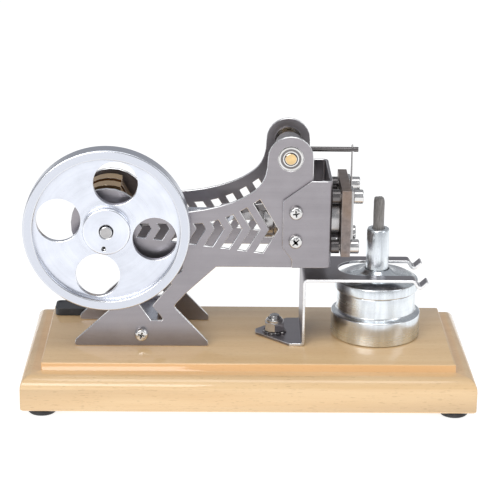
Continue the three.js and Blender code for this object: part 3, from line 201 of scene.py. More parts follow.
class Shader:
    """One material with a Principled surface, and what its patterns are made of."""

    def __init__(self, name, **constants):
        self.material = bpy.data.materials.new(name)
        self.material.use_nodes = True
        self.tree = self.material.node_tree
        self.tree.nodes.clear()
        shown = self.node("ShaderNodeBsdfPrincipled")
        self.surface = shown.socket.node
        self.set(**constants)
        self.node("ShaderNodeOutputMaterial", inputs={"Surface": shown})

    def node(self, kind, settings=None, inputs=None, output=0):
        """Makes any node: its settings first, then values or links for its inputs."""
        made = self.tree.nodes.new(kind)
        for name, value in (settings or {}).items():
            setattr(made, name, value)
        for key, value in (inputs or {}).items():
            self.feed(made.inputs[key], value)
        return Wire(self, made.outputs[output]) if made.outputs else None

    def feed(self, socket, value):
        if isinstance(value, Wire):
            self.tree.links.new(value.socket, socket)
        elif socket.type == "RGBA":
            socket.default_value = (*value[:3], 1.0)
        else:
            socket.default_value = value

    def set(self, **values):
        """Feeds inputs of the surface, with underscores for the spaces in their names."""
        for name, value in values.items():
            self.feed(self.surface.inputs[name.replace("_", " ")], value)

    def maths(self, operation, *values):
        return self.node("ShaderNodeMath", {"operation": operation}, dict(enumerate(values)))

    def span(self, value, low, high):
        """How far a value is from low to high, held between 0 and 1."""
        inputs = {"Value": value, "From Min": low, "From Max": high}
        return self.node("ShaderNodeMapRange", {"clamp": True}, inputs)

    def mix(self, factor, a, b):
        """A blend of two colours."""
        settings = {"data_type": "RGBA", "clamp_factor": True}
        return self.node("ShaderNodeMix", settings, {0: factor, 6: a, 7: b}, output=2)

    def at(self, centre=(0, 0, 0), stretch=(1, 1, 1), turn=(0, 0, 0)):
        """Object coordinates about a centre, turned, and multiplied by stretch."""
        place = self.node("ShaderNodeTexCoord", output="Object")
        if tuple(centre) != (0, 0, 0) or tuple(turn) != (0, 0, 0):
            moved = {"Vector": place, "Location": tuple(centre), "Rotation": turn}
            place = self.node("ShaderNodeMapping", {"vector_type": "TEXTURE"}, moved)
        if tuple(stretch) != (1, 1, 1):
            scaled = {"Vector": place, "Scale": stretch}
            place = self.node("ShaderNodeMapping", {"vector_type": "POINT"}, scaled)
        return place

    def join(self, x, y, z=0.0):
        return self.node("ShaderNodeCombineXYZ", inputs={0: x, 1: y, 2: z})

    def split(self, vector):
        place = self.node("ShaderNodeSeparateXYZ", inputs={0: vector})
        return [place.output(name) for name in "XYZ"]

    def noise(self, vector, scale=1.0, detail=2.0, roughness=0.5, distortion=0.0):
        inputs = {"Vector": vector, "Scale": scale, "Detail": detail}
        inputs.update({"Roughness": roughness, "Distortion": distortion})
        return self.node("ShaderNodeTexNoise", inputs=inputs)

    def cells(self, vector, scale):
        """Distance from the nearest of many scattered points."""
        inputs = {"Vector": vector, "Scale": scale}
        return self.node("ShaderNodeTexVoronoi", inputs=inputs, output="Distance")

    def bump(self, height, strength, distance=0.02 * MM):
        inputs = {"Strength": strength, "Distance": distance, "Height": height}
        self.set(Normal=self.node("ShaderNodeBump", inputs=inputs))

    def round_about(self, centre, axis):
        """Distance along an axis, then the two coordinates across it."""
        x, y, z = self.split(self.at(centre))
        return {"X": (x, y, z), "Y": (y, x, z), "Z": (z, x, y)}[axis]


# ---------------------------------------------------------------- materials


def shade(colour, factor):
    """A colour made darker, or lighter up to white."""
    return tuple(min(1.0, c * factor) for c in colour)


def pale(colour, share):
    """A colour moved towards white."""
    return tuple(c + (1 - c) * share for c in colour)


METAL = {"Metallic": 1.0, "IOR": 1.45}
looks_made = {}


def looks(kind, *rest):
    """The materials of a kind, made once: the surface, then its edges, paler for wear and as a painted
    highlight.
    """
    key = (kind, *rest)
    if key not in looks_made:
        looks_made[key] = MATERIALS[kind](*rest)
    return looks_made[key]


def with_recess_shade(surfaces):
    """The same materials and, third, the painted shade of a recess."""
    return surfaces + looks("recess")[:1]


def fresh_and_worn_highlit(name, colour, share, constants, paint):
    """The material of a surface, then a paler one for its edges, for wear and as a painted highlight, both
    by the same painter.
    """
    made = []
    for ending, worn in (("", False), ("_edge", True)):
        s = Shader(name + ending, **constants)
        # the edge copy is paler: partly wear, partly a painted highlight on the edges
        paint(s, pale(colour, share) if worn else colour, worn)
        made.append(s.material)
    return made


def sheet_metal(name, colour, rough, along="X"):
    """Brushed sheet: long scratches, cloudy patches and a few stray marks."""

    def brushed(run, across):
        return (run, across, across) if along == "X" else (across, across, run)

    def paint(s, top, worn):
        scratch = s.noise(s.at(stretch=brushed(55, 2600)), detail=4.0, roughness=0.65)
        streak = s.noise(s.at(stretch=brushed(14, 420)), detail=2.0)
        cloud = s.noise(s.at(), 85.0, detail=5.0, roughness=0.6)
        speck = s.span(s.noise(s.at(), 2300.0, detail=1.0), 0.66, 0.74)
        tone = s.span(0.5 * cloud + 0.3 * streak + 0.2 * scratch, 0.36, 0.64)
        tint = s.mix(tone, shade(top, 0.9), shade(top, 1.06))
        s.set(Base_Color=s.mix(0.25 * speck, tint, shade(top, 0.6)))
        low = rough - 0.06 if worn else rough
        s.set(Roughness=low + 0.16 * (scratch - 0.5) + 0.14 * (cloud - 0.5))
        s.bump(scratch * 0.8 + streak * 0.2, 0.13)

    return fresh_and_worn_highlit(name, colour, 0.8, METAL, paint)


def turned_metal(name, colour, rough, centre, axis, marks=1.0, rim=None, streaks=0.0):
    """Lathe-turned metal: fine rings, bands and a painted highlight in a soft fan round an axis, with faint
    scuffs.

    Beyond the rim's radius the metal is a little darker, and painted reflection streaks run dark along the
    axis.
    """

    def paint(s, top, worn):
        along, a, b = s.round_about(centre, axis)
        square = a * a + b * b
        pitch = sizes().tool_mark
        track = s.join(square ** 0.5, along)
        ring = s.noise(track, 1.0 / pitch, detail=3.0, roughness=0.7)
        band = s.noise(track, 0.11 / pitch, detail=1.0)
        cloud = s.noise(s.at(centre), 120.0, detail=4.0)
        rubbed = s.noise(s.at(centre, (900, 2100, 1500)), detail=2.0, distortion=1.5)
        scuff = s.span(rubbed, 0.62, 0.8)
        tone = s.span(0.45 * cloud + 0.35 * band + 0.2 * ring, 0.36, 0.64)
        # painted highlight: a fan of light round the axis, put into the base colour
        painted_fan = (a * a - b * b + 1.2 * a * b) / (square + 1e-7)
        tint = s.mix(s.span(tone + 0.16 * painted_fan, 0.0, 1.0), shade(top, 0.86), shade(top, 1.05))
        # painted reflection: dark streaks along the axis, the surroundings mirrored in a polished side
        if streaks:
            far = (square + 1e-9) ** 0.5
            painted_reflection = s.noise(s.join(a / far, b / far, along * 9.0), 3.6, detail=3.0)
            tint = s.mix(streaks * s.span(painted_reflection, 0.62, 0.4), tint, shade(top, 0.42))
        if rim:
            tint = s.mix(s.span(square ** 0.5, rim - 0.4 * MM, rim), tint, shade(top, 0.84))
        s.set(Base_Color=s.mix(0.18 * scuff, tint, shade(top, 0.7)))
        low = rough * (0.7 if worn else 1.0)
        s.set(Roughness=low + 0.16 * (band - 0.5) + 0.1 * (ring - 0.5) + 0.1 * scuff)
        s.bump(ring * 0.75 + band * 0.25, 0.3 * marks)

    return fresh_and_worn_highlit(name, colour, 0.45, METAL, paint)


def machined_metal(name, colour, rough):
    """Milled or plated metal with fine grinding marks, small dents and cloudy stains."""

    def paint(s, top, worn):
        mark = s.noise(s.at(stretch=(900, 3100, 1700)), detail=3.0, distortion=0.6)
        cloud = s.noise(s.at(), 170.0, detail=4.0, roughness=0.6)
        dent = s.span(s.cells(s.at(), 620.0), 0.0, 0.35)
        tone = s.span(0.7 * cloud + 0.3 * mark, 0.36, 0.64)
        s.set(Base_Color=s.mix(tone, shade(top, 0.84), shade(top, 1.06)))
        low = rough * (0.7 if worn else 1.0)
        s.set(Roughness=low + 0.14 * (mark - 0.5) + 0.12 * (cloud - 0.5))
        s.bump(mark * 0.6 + dent * 0.4, 0.16)

    return fresh_and_worn_highlit(name, colour, 0.45, METAL, paint)


def wood():
    """Lacquered close-grained wood with its grain along X, and a warmer band round the step's edge."""
    light, dark = colour_of("wood_light"), colour_of("wood_dark")
    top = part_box("base_board")[1].z
    step_foot, step_edge, round_edge = top - 3.7 * MM, top - 3.3 * MM, top - 0.6 * MM

    def paint(s, top_colour, worn):
        sway = s.noise(s.at(stretch=(7, 26, 26)), detail=2.0)
        across, up = s.split(s.at(turn=(0.35, 0.0, 0.012)))[1:]
        ring = s.maths("SINE", (across + 0.35 * up) * 620.0 + sway * 22.0)
        grain = s.noise(s.at(stretch=(16, 520, 520)), detail=5.0, roughness=0.68)
        fibre = s.noise(s.at(stretch=(60, 2300, 2300)), detail=3.0, roughness=0.6)
        patch = s.noise(s.at(stretch=(9, 20, 20)), detail=3.0)
        fleck = s.span(s.noise(s.at(stretch=(330, 2500, 2500)), detail=1.0), 0.63, 0.72)
        tone = 0.30 * s.span(ring, -1.0, 1.0)
        tone = tone + 0.42 * s.span(grain, 0.3, 0.72) + 0.28 * s.span(patch, 0.3, 0.7)
        body = s.mix(s.span(tone, 0.1, 0.95), dark, top_colour)
        body = s.mix(0.35 + 0.3 * fibre, body, top_colour)
        body = s.mix(0.32 * fleck, body, shade(dark, 0.62))
        height = s.split(s.at())[2]
        band = s.span(height, step_foot, step_edge) * s.span(height, top, round_edge)
        body = s.mix(0.75 * band, body, s.mix(0.7, body, colour_of("wood_step")))
        if worn:
            body = s.mix(0.35, body, pale(top_colour, 0.25))
        s.set(Base_Color=body, Coat_Weight=0.8 + 0.25 * (patch - 0.5))
        s.set(Roughness=0.38 + 0.2 * (grain - 0.5) + 0.08 * fleck)
        s.bump(0.5 * grain + 0.3 * fibre + 0.2 * (1.0 - fleck), 0.1, 0.03 * MM)

    lacquer = {"IOR": 1.48, "Coat_Roughness": 0.06, "Coat_IOR": 1.6}
    return fresh_and_worn_highlit("wood", light, 0.0, lacquer, paint)


def rubber():
    """Dusty moulded rubber."""
    s = Shader("rubber", IOR=1.5)
    speck = s.noise(s.at(), 2600.0, detail=3.0)
    dust = s.span(s.noise(s.at(), 260.0, detail=4.0), 0.45, 0.75)
    black = colour_of("rubber")
    s.set(Base_Color=s.mix(0.5 * dust, black, pale(black, 0.07)))
    s.set(Roughness=0.62 + 0.2 * dust + 0.1 * (speck - 0.5))
    s.bump(speck, 0.3, 0.03 * MM)
    return [s.material, s.material]


def plastic():
    """Finely grained black plastic with faint smears."""
    s = Shader("plastic", IOR=1.5, Coat_Roughness=0.2)
    grain = s.cells(s.at(), 1700.0)
    smear = s.noise(s.at(stretch=(160, 60, 160)), detail=3.0)
    black = colour_of("plastic")
    s.set(Base_Color=s.mix(s.span(smear, 0.4, 0.7), black, pale(black, 0.03)))
    s.set(Coat_Weight=0.05 + 0.1 * smear, Roughness=0.36 + 0.25 * (smear - 0.4))
    s.bump(grain, 0.12)
    return [s.material, s.material]


def iron():
    """Cast plate browned by the flame: mottled oxide over a rough ground face."""

    def paint(s, top, worn):
        mottle = s.noise(s.at(), 320.0, detail=6.0, roughness=0.65)
        heat = s.span(s.noise(s.at(), 90.0, detail=2.0), 0.35, 0.65)
        pit = s.span(s.cells(s.at(), 1500.0), 0.05, 0.4)
        grind = s.noise(s.at(stretch=(2400, 260, 2400)), detail=3.0)
        body = s.mix(s.span(mottle, 0.35, 0.65), shade(top, 0.7), shade(top, 1.25))
        warm = s.mix(0.5 * heat, body, colour_of("scale"))
        s.set(Base_Color=s.mix(0.3 * (1.0 - pit), warm, shade(top, 0.45)))
        s.set(Roughness=0.47 + 0.25 * (mottle - 0.5) + 0.15 * (grind - 0.5))
        s.bump(0.5 * mottle + 0.3 * pit + 0.2 * grind, 0.4, 0.04 * MM)

    oxide = {"Metallic": 0.85, "IOR": 1.5}
    return fresh_and_worn_highlit("iron", colour_of("iron"), 0.35, oxide, paint)


def felt():
    """Bundled fibres along Z, sooty towards the burnt end."""
    s = Shader("felt", IOR=1.5, Sheen_Weight=0.35, Sheen_Roughness=0.6)
    strand = s.noise(s.at(stretch=(3200, 3200, 260)), detail=4.0, roughness=0.7, distortion=0.4)
    clump = s.noise(s.at(stretch=(900, 900, 300)), detail=3.0)
    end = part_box("wick")[1].z
    height = s.split(s.at())[2] + 2 * MM * clump
    soot = s.span(height, end - 6 * MM, end - 0.5 * MM) * s.span(clump, 0.3, 0.7)
    used = colour_of("felt")
    body = s.mix(s.span(strand, 0.3, 0.7), shade(used, 0.55), pale(used, 0.14))
    s.set(Base_Color=s.mix(0.55 * soot, body, shade(used, 0.25)))
    s.set(Roughness=0.86 + 0.12 * (clump - 0.5))
    s.bump(0.6 * strand + 0.4 * clump, 0.9, 0.15 * MM)
    return [s.material, s.material]


def recess():
    """Near-black painted shade for the walls and floor of a recess, with a faint mottle."""
    s = Shader("recess", Metallic=0.6, IOR=1.5)
    # painted shade: a recess is near black where shade falls into it
    shade_mottle = s.noise(s.at(), 900.0, detail=3.0)
    s.set(Base_Color=s.mix(shade_mottle, (0.03, 0.028, 0.026), (0.10, 0.095, 0.09)))
    s.set(Roughness=0.6 + 0.2 * (shade_mottle - 0.5))
    s.bump(shade_mottle, 0.3)
    return [s.material, s.material]


def machined_for(key, rough):
    return lambda: machined_metal(key, colour_of(key), rough)


def turned_for(key, rough, **finish):
    """A maker of turned metal about a node's own axis, which each node needs for itself."""
    return lambda node, axis: turned_metal(
        f"{key}_{node}", colour_of(key), rough, centre_of(node), axis, **finish,
    )


MATERIALS = {
    "wood": wood,
    "rubber": rubber,
    "plastic": plastic,
    "iron": iron,
    "felt": felt,
    "recess": recess,
    "stainless": lambda: sheet_metal("stainless", colour_of("stainless"), 0.34),
    "guide": lambda: sheet_metal("guide", colour_of("steel"), 0.26, "Z"),
    "shield": lambda: machined_metal("shield", shade(colour_of("dark_steel"), 1.3), 0.35),
    "steel": machined_for("steel", 0.3),
    "nickel": machined_for("nickel", 0.17),
    "aluminium": machined_for("aluminium", 0.3),
    "dark_steel": machined_for("dark_steel", 0.3),
    "turned_steel": turned_for("steel", 0.24),
    "turned_dark": turned_for("dark_steel", 0.26),
    "turned_nickel": turned_for("nickel", 0.16, marks=0.6),
    "turned_brass": turned_for("brass", 0.2),
    "turned_bronze": turned_for("bronze", 0.24),
    "flywheel": turned_for("aluminium", 0.3, rim=30.2 * MM),
    "polished_aluminium": turned_for("polished", 0.25, marks=1.2, streaks=0.4),
}


# ---------------------------------------------------------------- modelling


def centre_of(node):
    low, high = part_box(node)
    return (low + high) / 2


def seat_of(node, axis="Z"):
    """Middle of a node's lowest face along an axis, or of its highest where the axis has a minus."""
    low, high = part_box(node)
    seat = (low + high) / 2
    index = "XYZ".index(axis[-1])
    seat[index] = high[index] if axis[0] == "-" else low[index]
    return seat


def extents(node, axis):
    """Radius and length, in millimetres, of a round node along an axis."""
    low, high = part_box(node)
    index = "XYZ".index(axis[-1])
    size = (high - low) / MM
    across = max(size[i] for i in range(3) if i != index)
    return across / 2, size[index]


def ease(bm, width, angle=SHARP, segments=2, clamp=True):
    """Rounds the sharp edges, a few times the eased edge's unit wide, in the edge material, paler for wear
    and as a painted highlight.
    """
    edges = [e for e in bm.edges if e.is_manifold and e.calc_face_angle(0.0) > angle]
    made = bmesh.ops.bevel(
        bm, geom=edges, offset=width * sizes().ease, offset_type="OFFSET", segments=segments,
        profile=0.5, affect="EDGES", clamp_overlap=clamp, material=-1,
    )
    for face in made["faces"]:
        face.material_index = 1


def turn_profile(profile, segments=None):
    """A bmesh of a profile turned about Z."""
    bm = bmesh.new()
    verts = [bm.verts.new((r * MM, 0.0, h * MM)) for r, h in profile]
    edges = [bm.edges.new(pair) for pair in zip(verts, verts[1:])]
    bmesh.ops.spin(
        bm, geom=verts + edges, cent=(0, 0, 0), axis=(0, 0, 1), dvec=(0, 0, 0),
        angle=2 * math.pi, steps=segments or sizes().segments, use_merge=True, use_duplicate=False,
    )
    bmesh.ops.remove_doubles(bm, verts=bm.verts, dist=MERGE)
    bmesh.ops.recalc_face_normals(bm, faces=bm.faces)
    return bm


def sweep(start, end, power, steps=8):
    """Points from one corner of a profile to another, which rise later the higher the power."""
    out = []
    for i in range(steps + 1):
        share = i / steps
        out.append((start[0] + (end[0] - start[0]) * share, start[1] + (end[1] - start[1]) * share ** power))
    return out


def add_mesh(bm, other):
    """Adds another bmesh to this one."""
    held = bpy.data.meshes.new("held")
    other.to_mesh(held)
    other.free()
    bm.from_mesh(held)
    bpy.data.meshes.remove(held)


def piece(bm, node, surfaces, sharp=SHARP):
    """Makes the object for a CAD node, riding on the node's body and standing for it."""
    name = f"fine_{node}"
    bmesh.ops.recalc_face_normals(bm, faces=bm.faces)
    for face in bm.faces:
        face.smooth = True
    for edge in bm.edges:
        if edge.is_manifold:
            a, b = edge.link_faces
            limit = sharp if a.material_index == b.material_index else FLAT
            edge.smooth = edge.calc_face_angle(0.0) < limit
    mesh = bpy.data.meshes.new(name)
    bm.to_mesh(mesh)
    bm.free()
    for surface in surfaces:
        mesh.materials.append(surface)
    made = bpy.data.objects.new(name, mesh)
    bpy.context.scene.collection.objects.link(made)
    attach(made, BODY_OF[node])
    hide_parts(node)


def seated(bm, node, axis, surfaces, spin=0.0, sharp=SHARP):
    """Makes the object of a bmesh made upright on Z, spun, laid along an axis and put on its seat."""
    way = -1 if axis[0] == "-" else 1
    turn = Vector((0, 0, 1)).rotation_difference(AXES[axis[-1]] * way).to_matrix()
    own = Matrix.Rotation(spin, 3, "Z")
    bmesh.ops.rotate(bm, verts=bm.verts, cent=(0, 0, 0), matrix=turn @ own)
    bmesh.ops.translate(bm, verts=bm.verts, vec=seat_of(node, axis))
    piece(bm, node, surfaces, sharp)


def from_cad(node):
    """A bmesh of a CAD node with its triangles joined into flat faces."""
    bm = bmesh.new()
    bm.from_mesh(frame["nodes"][node].data)
    bmesh.ops.remove_doubles(bm, verts=bm.verts, dist=2 * MERGE)
    bmesh.ops.dissolve_limit(
        bm, angle_limit=COPLANAR, use_dissolve_boundaries=False, verts=bm.verts,
        edges=bm.edges, delimit=set(),
    )
    return bm


def eased(node, surfaces, width):
    """A CAD node with its edges eased."""
    bm = from_cad(node)
    ease(bm, width)
    piece(bm, node, surfaces)


def sheet(node, width, cut=None):
    """A CAD node of stainless sheet with its edges eased. Faces that pass cut are cut edges in the paler
    edge material, a painted highlight.
    """
    bm = from_cad(node)
    ease(bm, width, segments=1, clamp=False)
    for face in bm.faces:
        if cut and cut(face.normal):
            face.material_index = 1
    piece(bm, node, looks("stainless"))


def across_y(normal):
    return abs(normal.y) < 0.6


def along_y(normal):
    return abs(normal.y) > 0.9


def turned(node, axis, kind, profile, width):
    """A turned piece whose profile's heights are measured from the node's lowest face along its axis."""
    bm = turn_profile(profile)
    ease(bm, width)
    seated(bm, node, axis, looks(kind, node, axis))


def rod(node, axis, kind, width):
    """A plain round rod with eased ends."""
    radius, length = extents(node, axis)
    profile = [(0.0, 0.0), (radius, 0.0), (radius, length), (0.0, length)]
    turned(node, axis, kind, profile, width)


def loop_of(bm, points):
    """A closed loop of edges through the points."""
    verts = [bm.verts.new(point) for point in points]
    return [bm.edges.new(pair) for pair in zip(verts, verts[1:] + verts[:1])]


def ring_points(radius, height, count, centre=(0.0, 0.0)):
    """Points in metres of a level ring given in millimetres."""
    out = []
    for i in range(count):
        turn = 2 * math.pi * i / count
        x, y = centre[0] + radius * math.cos(turn), centre[1] + radius * math.sin(turn)
        out.append((x * MM, y * MM, height * MM))
    return out


def open_edges(bm, height):
    """The boundary edges that lie level at a height in millimetres."""
    return [
        e for e in bm.edges
        if e.is_boundary and all(abs(v.co.z - height * MM) < LEVEL for v in e.verts)
    ]


def extrude_loop(bm, loop):
    """Extrudes a loop of edges in place. Gives the new vertices and the new loop."""
    made = bmesh.ops.extrude_edge_only(bm, edges=loop)["geom"]
    verts = [v for v in made if isinstance(v, bmesh.types.BMVert)]
    edges = [e for e in made if isinstance(e, bmesh.types.BMEdge)]
    return verts, [e for e in edges if all(v in verts for v in e.verts)]


def sink(bm, loop, depth, taper=1.0):
    """Draws a loop of edges down into a recess with a floor, all in the recess's material, which is painted
    shade.
    """
    before = set(bm.faces)
    verts, floor = extrude_loop(bm, loop)
    middle = sum((v.co for v in verts), Vector()) / len(verts)
    bmesh.ops.translate(bm, verts=verts, vec=(0, 0, -depth * MM))
    middle.z -= depth * MM
    bmesh.ops.scale(bm, verts=verts, vec=(taper, taper, 1), space=Matrix.Translation(-middle))
    bmesh.ops.contextual_create(bm, geom=floor)
    # the recess's walls and floor take the painted shade
    for face in set(bm.faces) - before:
        face.material_index = 2


# ---------------------------------------------------------------- fasteners


def cross_points(arm, width, height):
    """Twelve corners of a cross, its arms along X and Y."""
    half = width / 2
    quarter = [(arm, -half), (arm, half), (half, half)]
    out = []
    for c, s in ((1, 0), (0, 1), (-1, 0), (0, -1)):
        out += [((x * c - y * s) * MM, (x * s + y * c) * MM, height * MM) for x, y in quarter]
    return out


def headed(profile, socket, depth, taper):
    """A turned screw whose flat top, inside the profile's last point, holds a socket of an outline."""
    bm = turn_profile(profile, 48)
    rim = open_edges(bm, profile[-1][1])
    loop = loop_of(bm, socket)
    bmesh.ops.bridge_loops(bm, edges=rim + loop)
    sink(bm, loop, depth, taper)
    bmesh.ops.recalc_face_normals(bm, faces=bm.faces)
    return bm


def pan_screw(node, axis, spin):
    """Pan-head screw with a crossed recess, its head at the end of the axis."""
    radius, length = extents(node, axis)
    head, shank, brim = 2.2, 1.5, 0.66
    under = length - head
    profile = [(0.0, 0.3), (shank - 0.3, 0.0), (shank, 0.4), (shank, under), (radius - 0.12, under)]
    profile += [(radius, under + 0.14), (radius, under + brim)]
    dome, steps, crown = math.radians(64), 7, 1.575
    for i in range(1, steps + 1):
        turn = i / steps * dome
        rise = (head - brim) * math.sin(turn) / math.sin(dome)
        profile.append((radius - crown * (1 - math.cos(turn)), under + brim + rise))
    arm, slot, depth, taper = 1.42, 0.62, 1.25, 0.42
    bm = headed(profile, cross_points(arm, slot, length), depth, taper)
    ease(bm, 0.5)
    seated(bm, node, axis, with_recess_shade(looks("nickel")), spin)


def cap_screw(node, spin):
    """Socket-head cap screw with a fluted head at the +X end."""
    radius, length = extents(node, "X")
    head, shank, flutes, flute = 4.1, 1.5, 24, 0.10
    under = length - head
    profile = [(0.0, 0.2), (shank - 0.3, 0.0), (shank, 0.3), (shank, under), (radius - 0.3, under)]
    profile += [(radius, under + 0.25), (radius, under + 0.9), (radius, length - 0.75)]
    profile += [(radius, length - 0.4), (radius - 0.12, length - 0.12), (radius - 0.4, length)]
    key, depth, taper = 1.45, 2.0, 0.98
    bm = headed(profile, ring_points(key, length, 6), depth, taper)
    for v in bm.verts:
        outside = math.hypot(v.co.x, v.co.y) > (radius - 0.05) * MM
        if outside and under + 0.3 < v.co.z / MM < length - 0.42:
            turn = math.atan2(v.co.y, v.co.x)
            keep = 1 - flute * (0.5 + 0.5 * math.cos(flutes * turn)) / radius
            v.co.x *= keep
            v.co.y *= keep
    ease(bm, 0.5, math.radians(40))
    seated(bm, node, "X", with_recess_shade(looks("turned_nickel", node, "X")), spin)


def lock_nut():
    """Hexagon nut chamfered on both faces, with its round collar."""
    height = extents("lock_nut", "Z")[1]
    flats, hexagon, bore, count = 8.0, 4.0, 2.8, 72
    circle, collar = flats / 2 - 0.15, flats / 2 - 0.3
    slope = math.tan(math.radians(28))
    bm = bmesh.new()

    def ring(level, radius=None, chamfer=0.0):
        """A loop of a radius, or round the hexagon, where the chamfer lifts the corners."""
        points = []
        for i in range(count):
            turn = 2 * math.pi * i / count
            side = (turn + math.pi / 6) % (math.pi / 3) - math.pi / 6
            r = radius or flats / 2 / math.cos(side)
            z = level + chamfer * (r - circle)
            points.append((r * math.cos(turn) * MM, r * math.sin(turn) * MM, z * MM))
        return loop_of(bm, points)

    loops = [
        ring(0.15, bore), ring(0.0, bore + 0.2), ring(0.0, circle), ring(0.0, None, slope),
        ring(hexagon, None, -slope), ring(hexagon, circle), ring(hexagon + 0.02, collar),
        ring(hexagon + 0.75, collar), ring(hexagon + 1.2, collar - 0.35),
        ring(height - 0.02, collar - 0.9), ring(height, bore + 0.15), ring(height - 0.2, bore),
    ]
    for lower, upper in zip(loops, loops[1:] + loops[:1]):
        bmesh.ops.bridge_loops(bm, edges=lower + upper)
    seated(bm, "lock_nut", "Z", looks("nickel"), sharp=math.radians(24))


def threaded(radius, start, end, pitch, depth):
    """Profile points of the ridges of a thread between two heights."""
    root, rise, crest = 0.12, 0.5, 0.62  # where each part of a ridge ends, as a share of the pitch
    out = []
    for i in range(max(1, int((end - start) / pitch))):
        z = start + i * pitch
        out += [(radius - depth, z), (radius - depth, z + root * pitch)]
        out += [(radius, z + rise * pitch), (radius, z + crest * pitch)]
    return out


# ---------------------------------------------------------------- operators


class Build:
    """What the operators of this file share."""

    bl_options = {"REGISTER", "UNDO"}


class ENGINE_OT_base(Build, bpy.types.Operator):
    """Moulded wooden base with its grain, sanded edges and screw wells"""

    bl_idname = "engine.base"
    bl_label = "Base"

    def execute(self, context):
        low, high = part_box("base_board")
        middle = (low + high) / 2
        half_x, half_y, top = (high.x - low.x) / MM / 2, (high.y - low.y) / MM / 2, (high.z - low.z) / MM
        step, ledge, moulding, lower, cove = 3.6, 3.2, 5.0, 0.6, 0.25
        screw_well, bolt_well, well_depth = 5.4, 4.7, 4.0
        soft = sizes().wood_ease / MM
        shoulder, inset = top - step, ledge + moulding
        levels = [(0.0, lower)]
        for i in range(11):
            turn = i / 10 * math.pi / 2
            fall = moulding * (1 - math.sin(turn))
            levels.append((moulding * (1 - math.cos(turn)), shoulder - fall))
        levels += [(inset - cove, shoulder), (inset, shoulder + cove), (inset, top - soft)]
        levels += [(inset + 0.3 * soft, top - 0.3 * soft), (inset + soft, top)]

        bm = bmesh.new()
        x, y = (half_x - lower) * MM, (half_y - lower) * MM
        loop = loop_of(bm, [(-x, -y, 0.0), (x, -y, 0.0), (x, y, 0.0), (-x, y, 0.0)])
        plates = (centre_of("side_plate_front") + centre_of("side_plate_rear")) / 2
        screws = Vector((centre_of("base_screw_front").x, plates.y, 0))
        wells = []
        for spot, radius in ((screws, screw_well), (centre_of("bracket_bolt"), bolt_well)):
            centre = ((spot.x - middle.x) / MM, (spot.y - middle.y) / MM)
            wells.append(loop_of(bm, ring_points(radius, 0.0, 40, centre)))
        bmesh.ops.triangle_fill(bm, use_beauty=True, edges=bm.edges[:])
        for well in wells:
            sink(bm, well, -well_depth)
        for inward, height in levels:
            verts, loop = extrude_loop(bm, loop)
            for v in verts:
                v.co.x = math.copysign((half_x - inward) * MM, v.co.x)
                v.co.y = math.copysign((half_y - inward) * MM, v.co.y)
                v.co.z = height * MM
        bmesh.ops.contextual_create(bm, geom=loop)

        corner_x, corner_y = (half_x - inset - 1) * MM, (half_y - inset - 1) * MM
        mitres = []
        for edge in bm.edges:
            a, b = (v.co for v in edge.verts)
            cornered = all(abs(co.x) > corner_x and abs(co.y) > corner_y for co in (a, b))
            if cornered and not edge.is_boundary and (a - b).length < 6 * MM:
                mitres.append(edge)
        bmesh.ops.bevel(
            bm, geom=mitres, offset=sizes().wood_ease, offset_type="OFFSET", segments=2,
            profile=0.5, affect="EDGES", clamp_overlap=True, material=-1,
        )
        surfaces = with_recess_shade(looks("wood"))
        seated(bm, "base_board", "Z", surfaces, sharp=math.radians(50))
        return {"FINISHED"}


class ENGINE_OT_feet(Build, bpy.types.Operator):
    """Four rubber feet with a moulded ring and a screw recess"""

    bl_idname = "engine.feet"
    bl_label = "Feet"

    def execute(self, context):
        for end in ("left", "right"):
            for row in ("front", "rear"):
                node = f"foot_{row}_{end}"
                radius, height = extents(node, "Z")
                profile = [(0.0, 1.4), (1.9, 1.4), (2.1, 0.25), (2.4, 0.0), (radius - 1.7, 0.0)]
                profile += [(radius - 0.7, 0.35), (radius - 0.15, 0.95), (radius, 1.6)]
                profile += [(radius, height - 0.9), (radius - 0.2, height - 0.75)]
                profile += [(radius - 0.2, height), (0.0, height)]
                bm = turn_profile(profile, 56)
                ease(bm, 1.2)
                seated(bm, node, "Z", looks("rubber"))
        return {"FINISHED"}


class ENGINE_OT_badge(Build, bpy.types.Operator):
    """Black plate with rounded corners and a raised border"""

    bl_idname = "engine.badge"
    bl_label = "Name plate"

    def execute(self, context):
        low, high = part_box("name_plate")
        size = high - low
        corner, border, slope, sunk = 2.2 * MM, 1.0 * MM, 0.15 * MM, 0.35 * MM
        bm = bmesh.new()
        bmesh.ops.create_grid(bm, x_segments=1, y_segments=1, size=0.5)
        bmesh.ops.scale(bm, verts=bm.verts, vec=(size.x, size.y, 1))
        bmesh.ops.bevel(
            bm, geom=bm.verts[:], offset=corner, offset_type="OFFSET", segments=6, profile=0.5,
            affect="VERTICES", clamp_overlap=True, material=-1,
        )
        made = bmesh.ops.extrude_face_region(bm, geom=bm.faces[:])["geom"]
        top = [v for v in made if isinstance(v, bmesh.types.BMVert)]
        bmesh.ops.translate(bm, verts=top, vec=(0, 0, size.z))
        faces = [f for f in bm.faces if all(v.co.z > size.z / 2 for v in f.verts)]
        bmesh.ops.inset_region(bm, faces=faces, thickness=border, depth=0.0)
        bmesh.ops.inset_region(bm, faces=faces, thickness=slope, depth=-sunk)
        ease(bm, 2.0, math.radians(50))
        seated(bm, "name_plate", "Z", looks("plastic"))
        return {"FINISHED"}


class ENGINE_OT_plates(Build, bpy.types.Operator):
    """Two brushed side plates with cut edges painted bright as a highlight, and the block between their feet
    """

    bl_idname = "engine.plates"
    bl_label = "Side plates"

    def execute(self, context):
        for side in ("front", "rear"):
            sheet(f"side_plate_{side}", 2.2, cut=across_y)
        eased("foot_block", looks("aluminium"), 2.5)
        return {"FINISHED"}


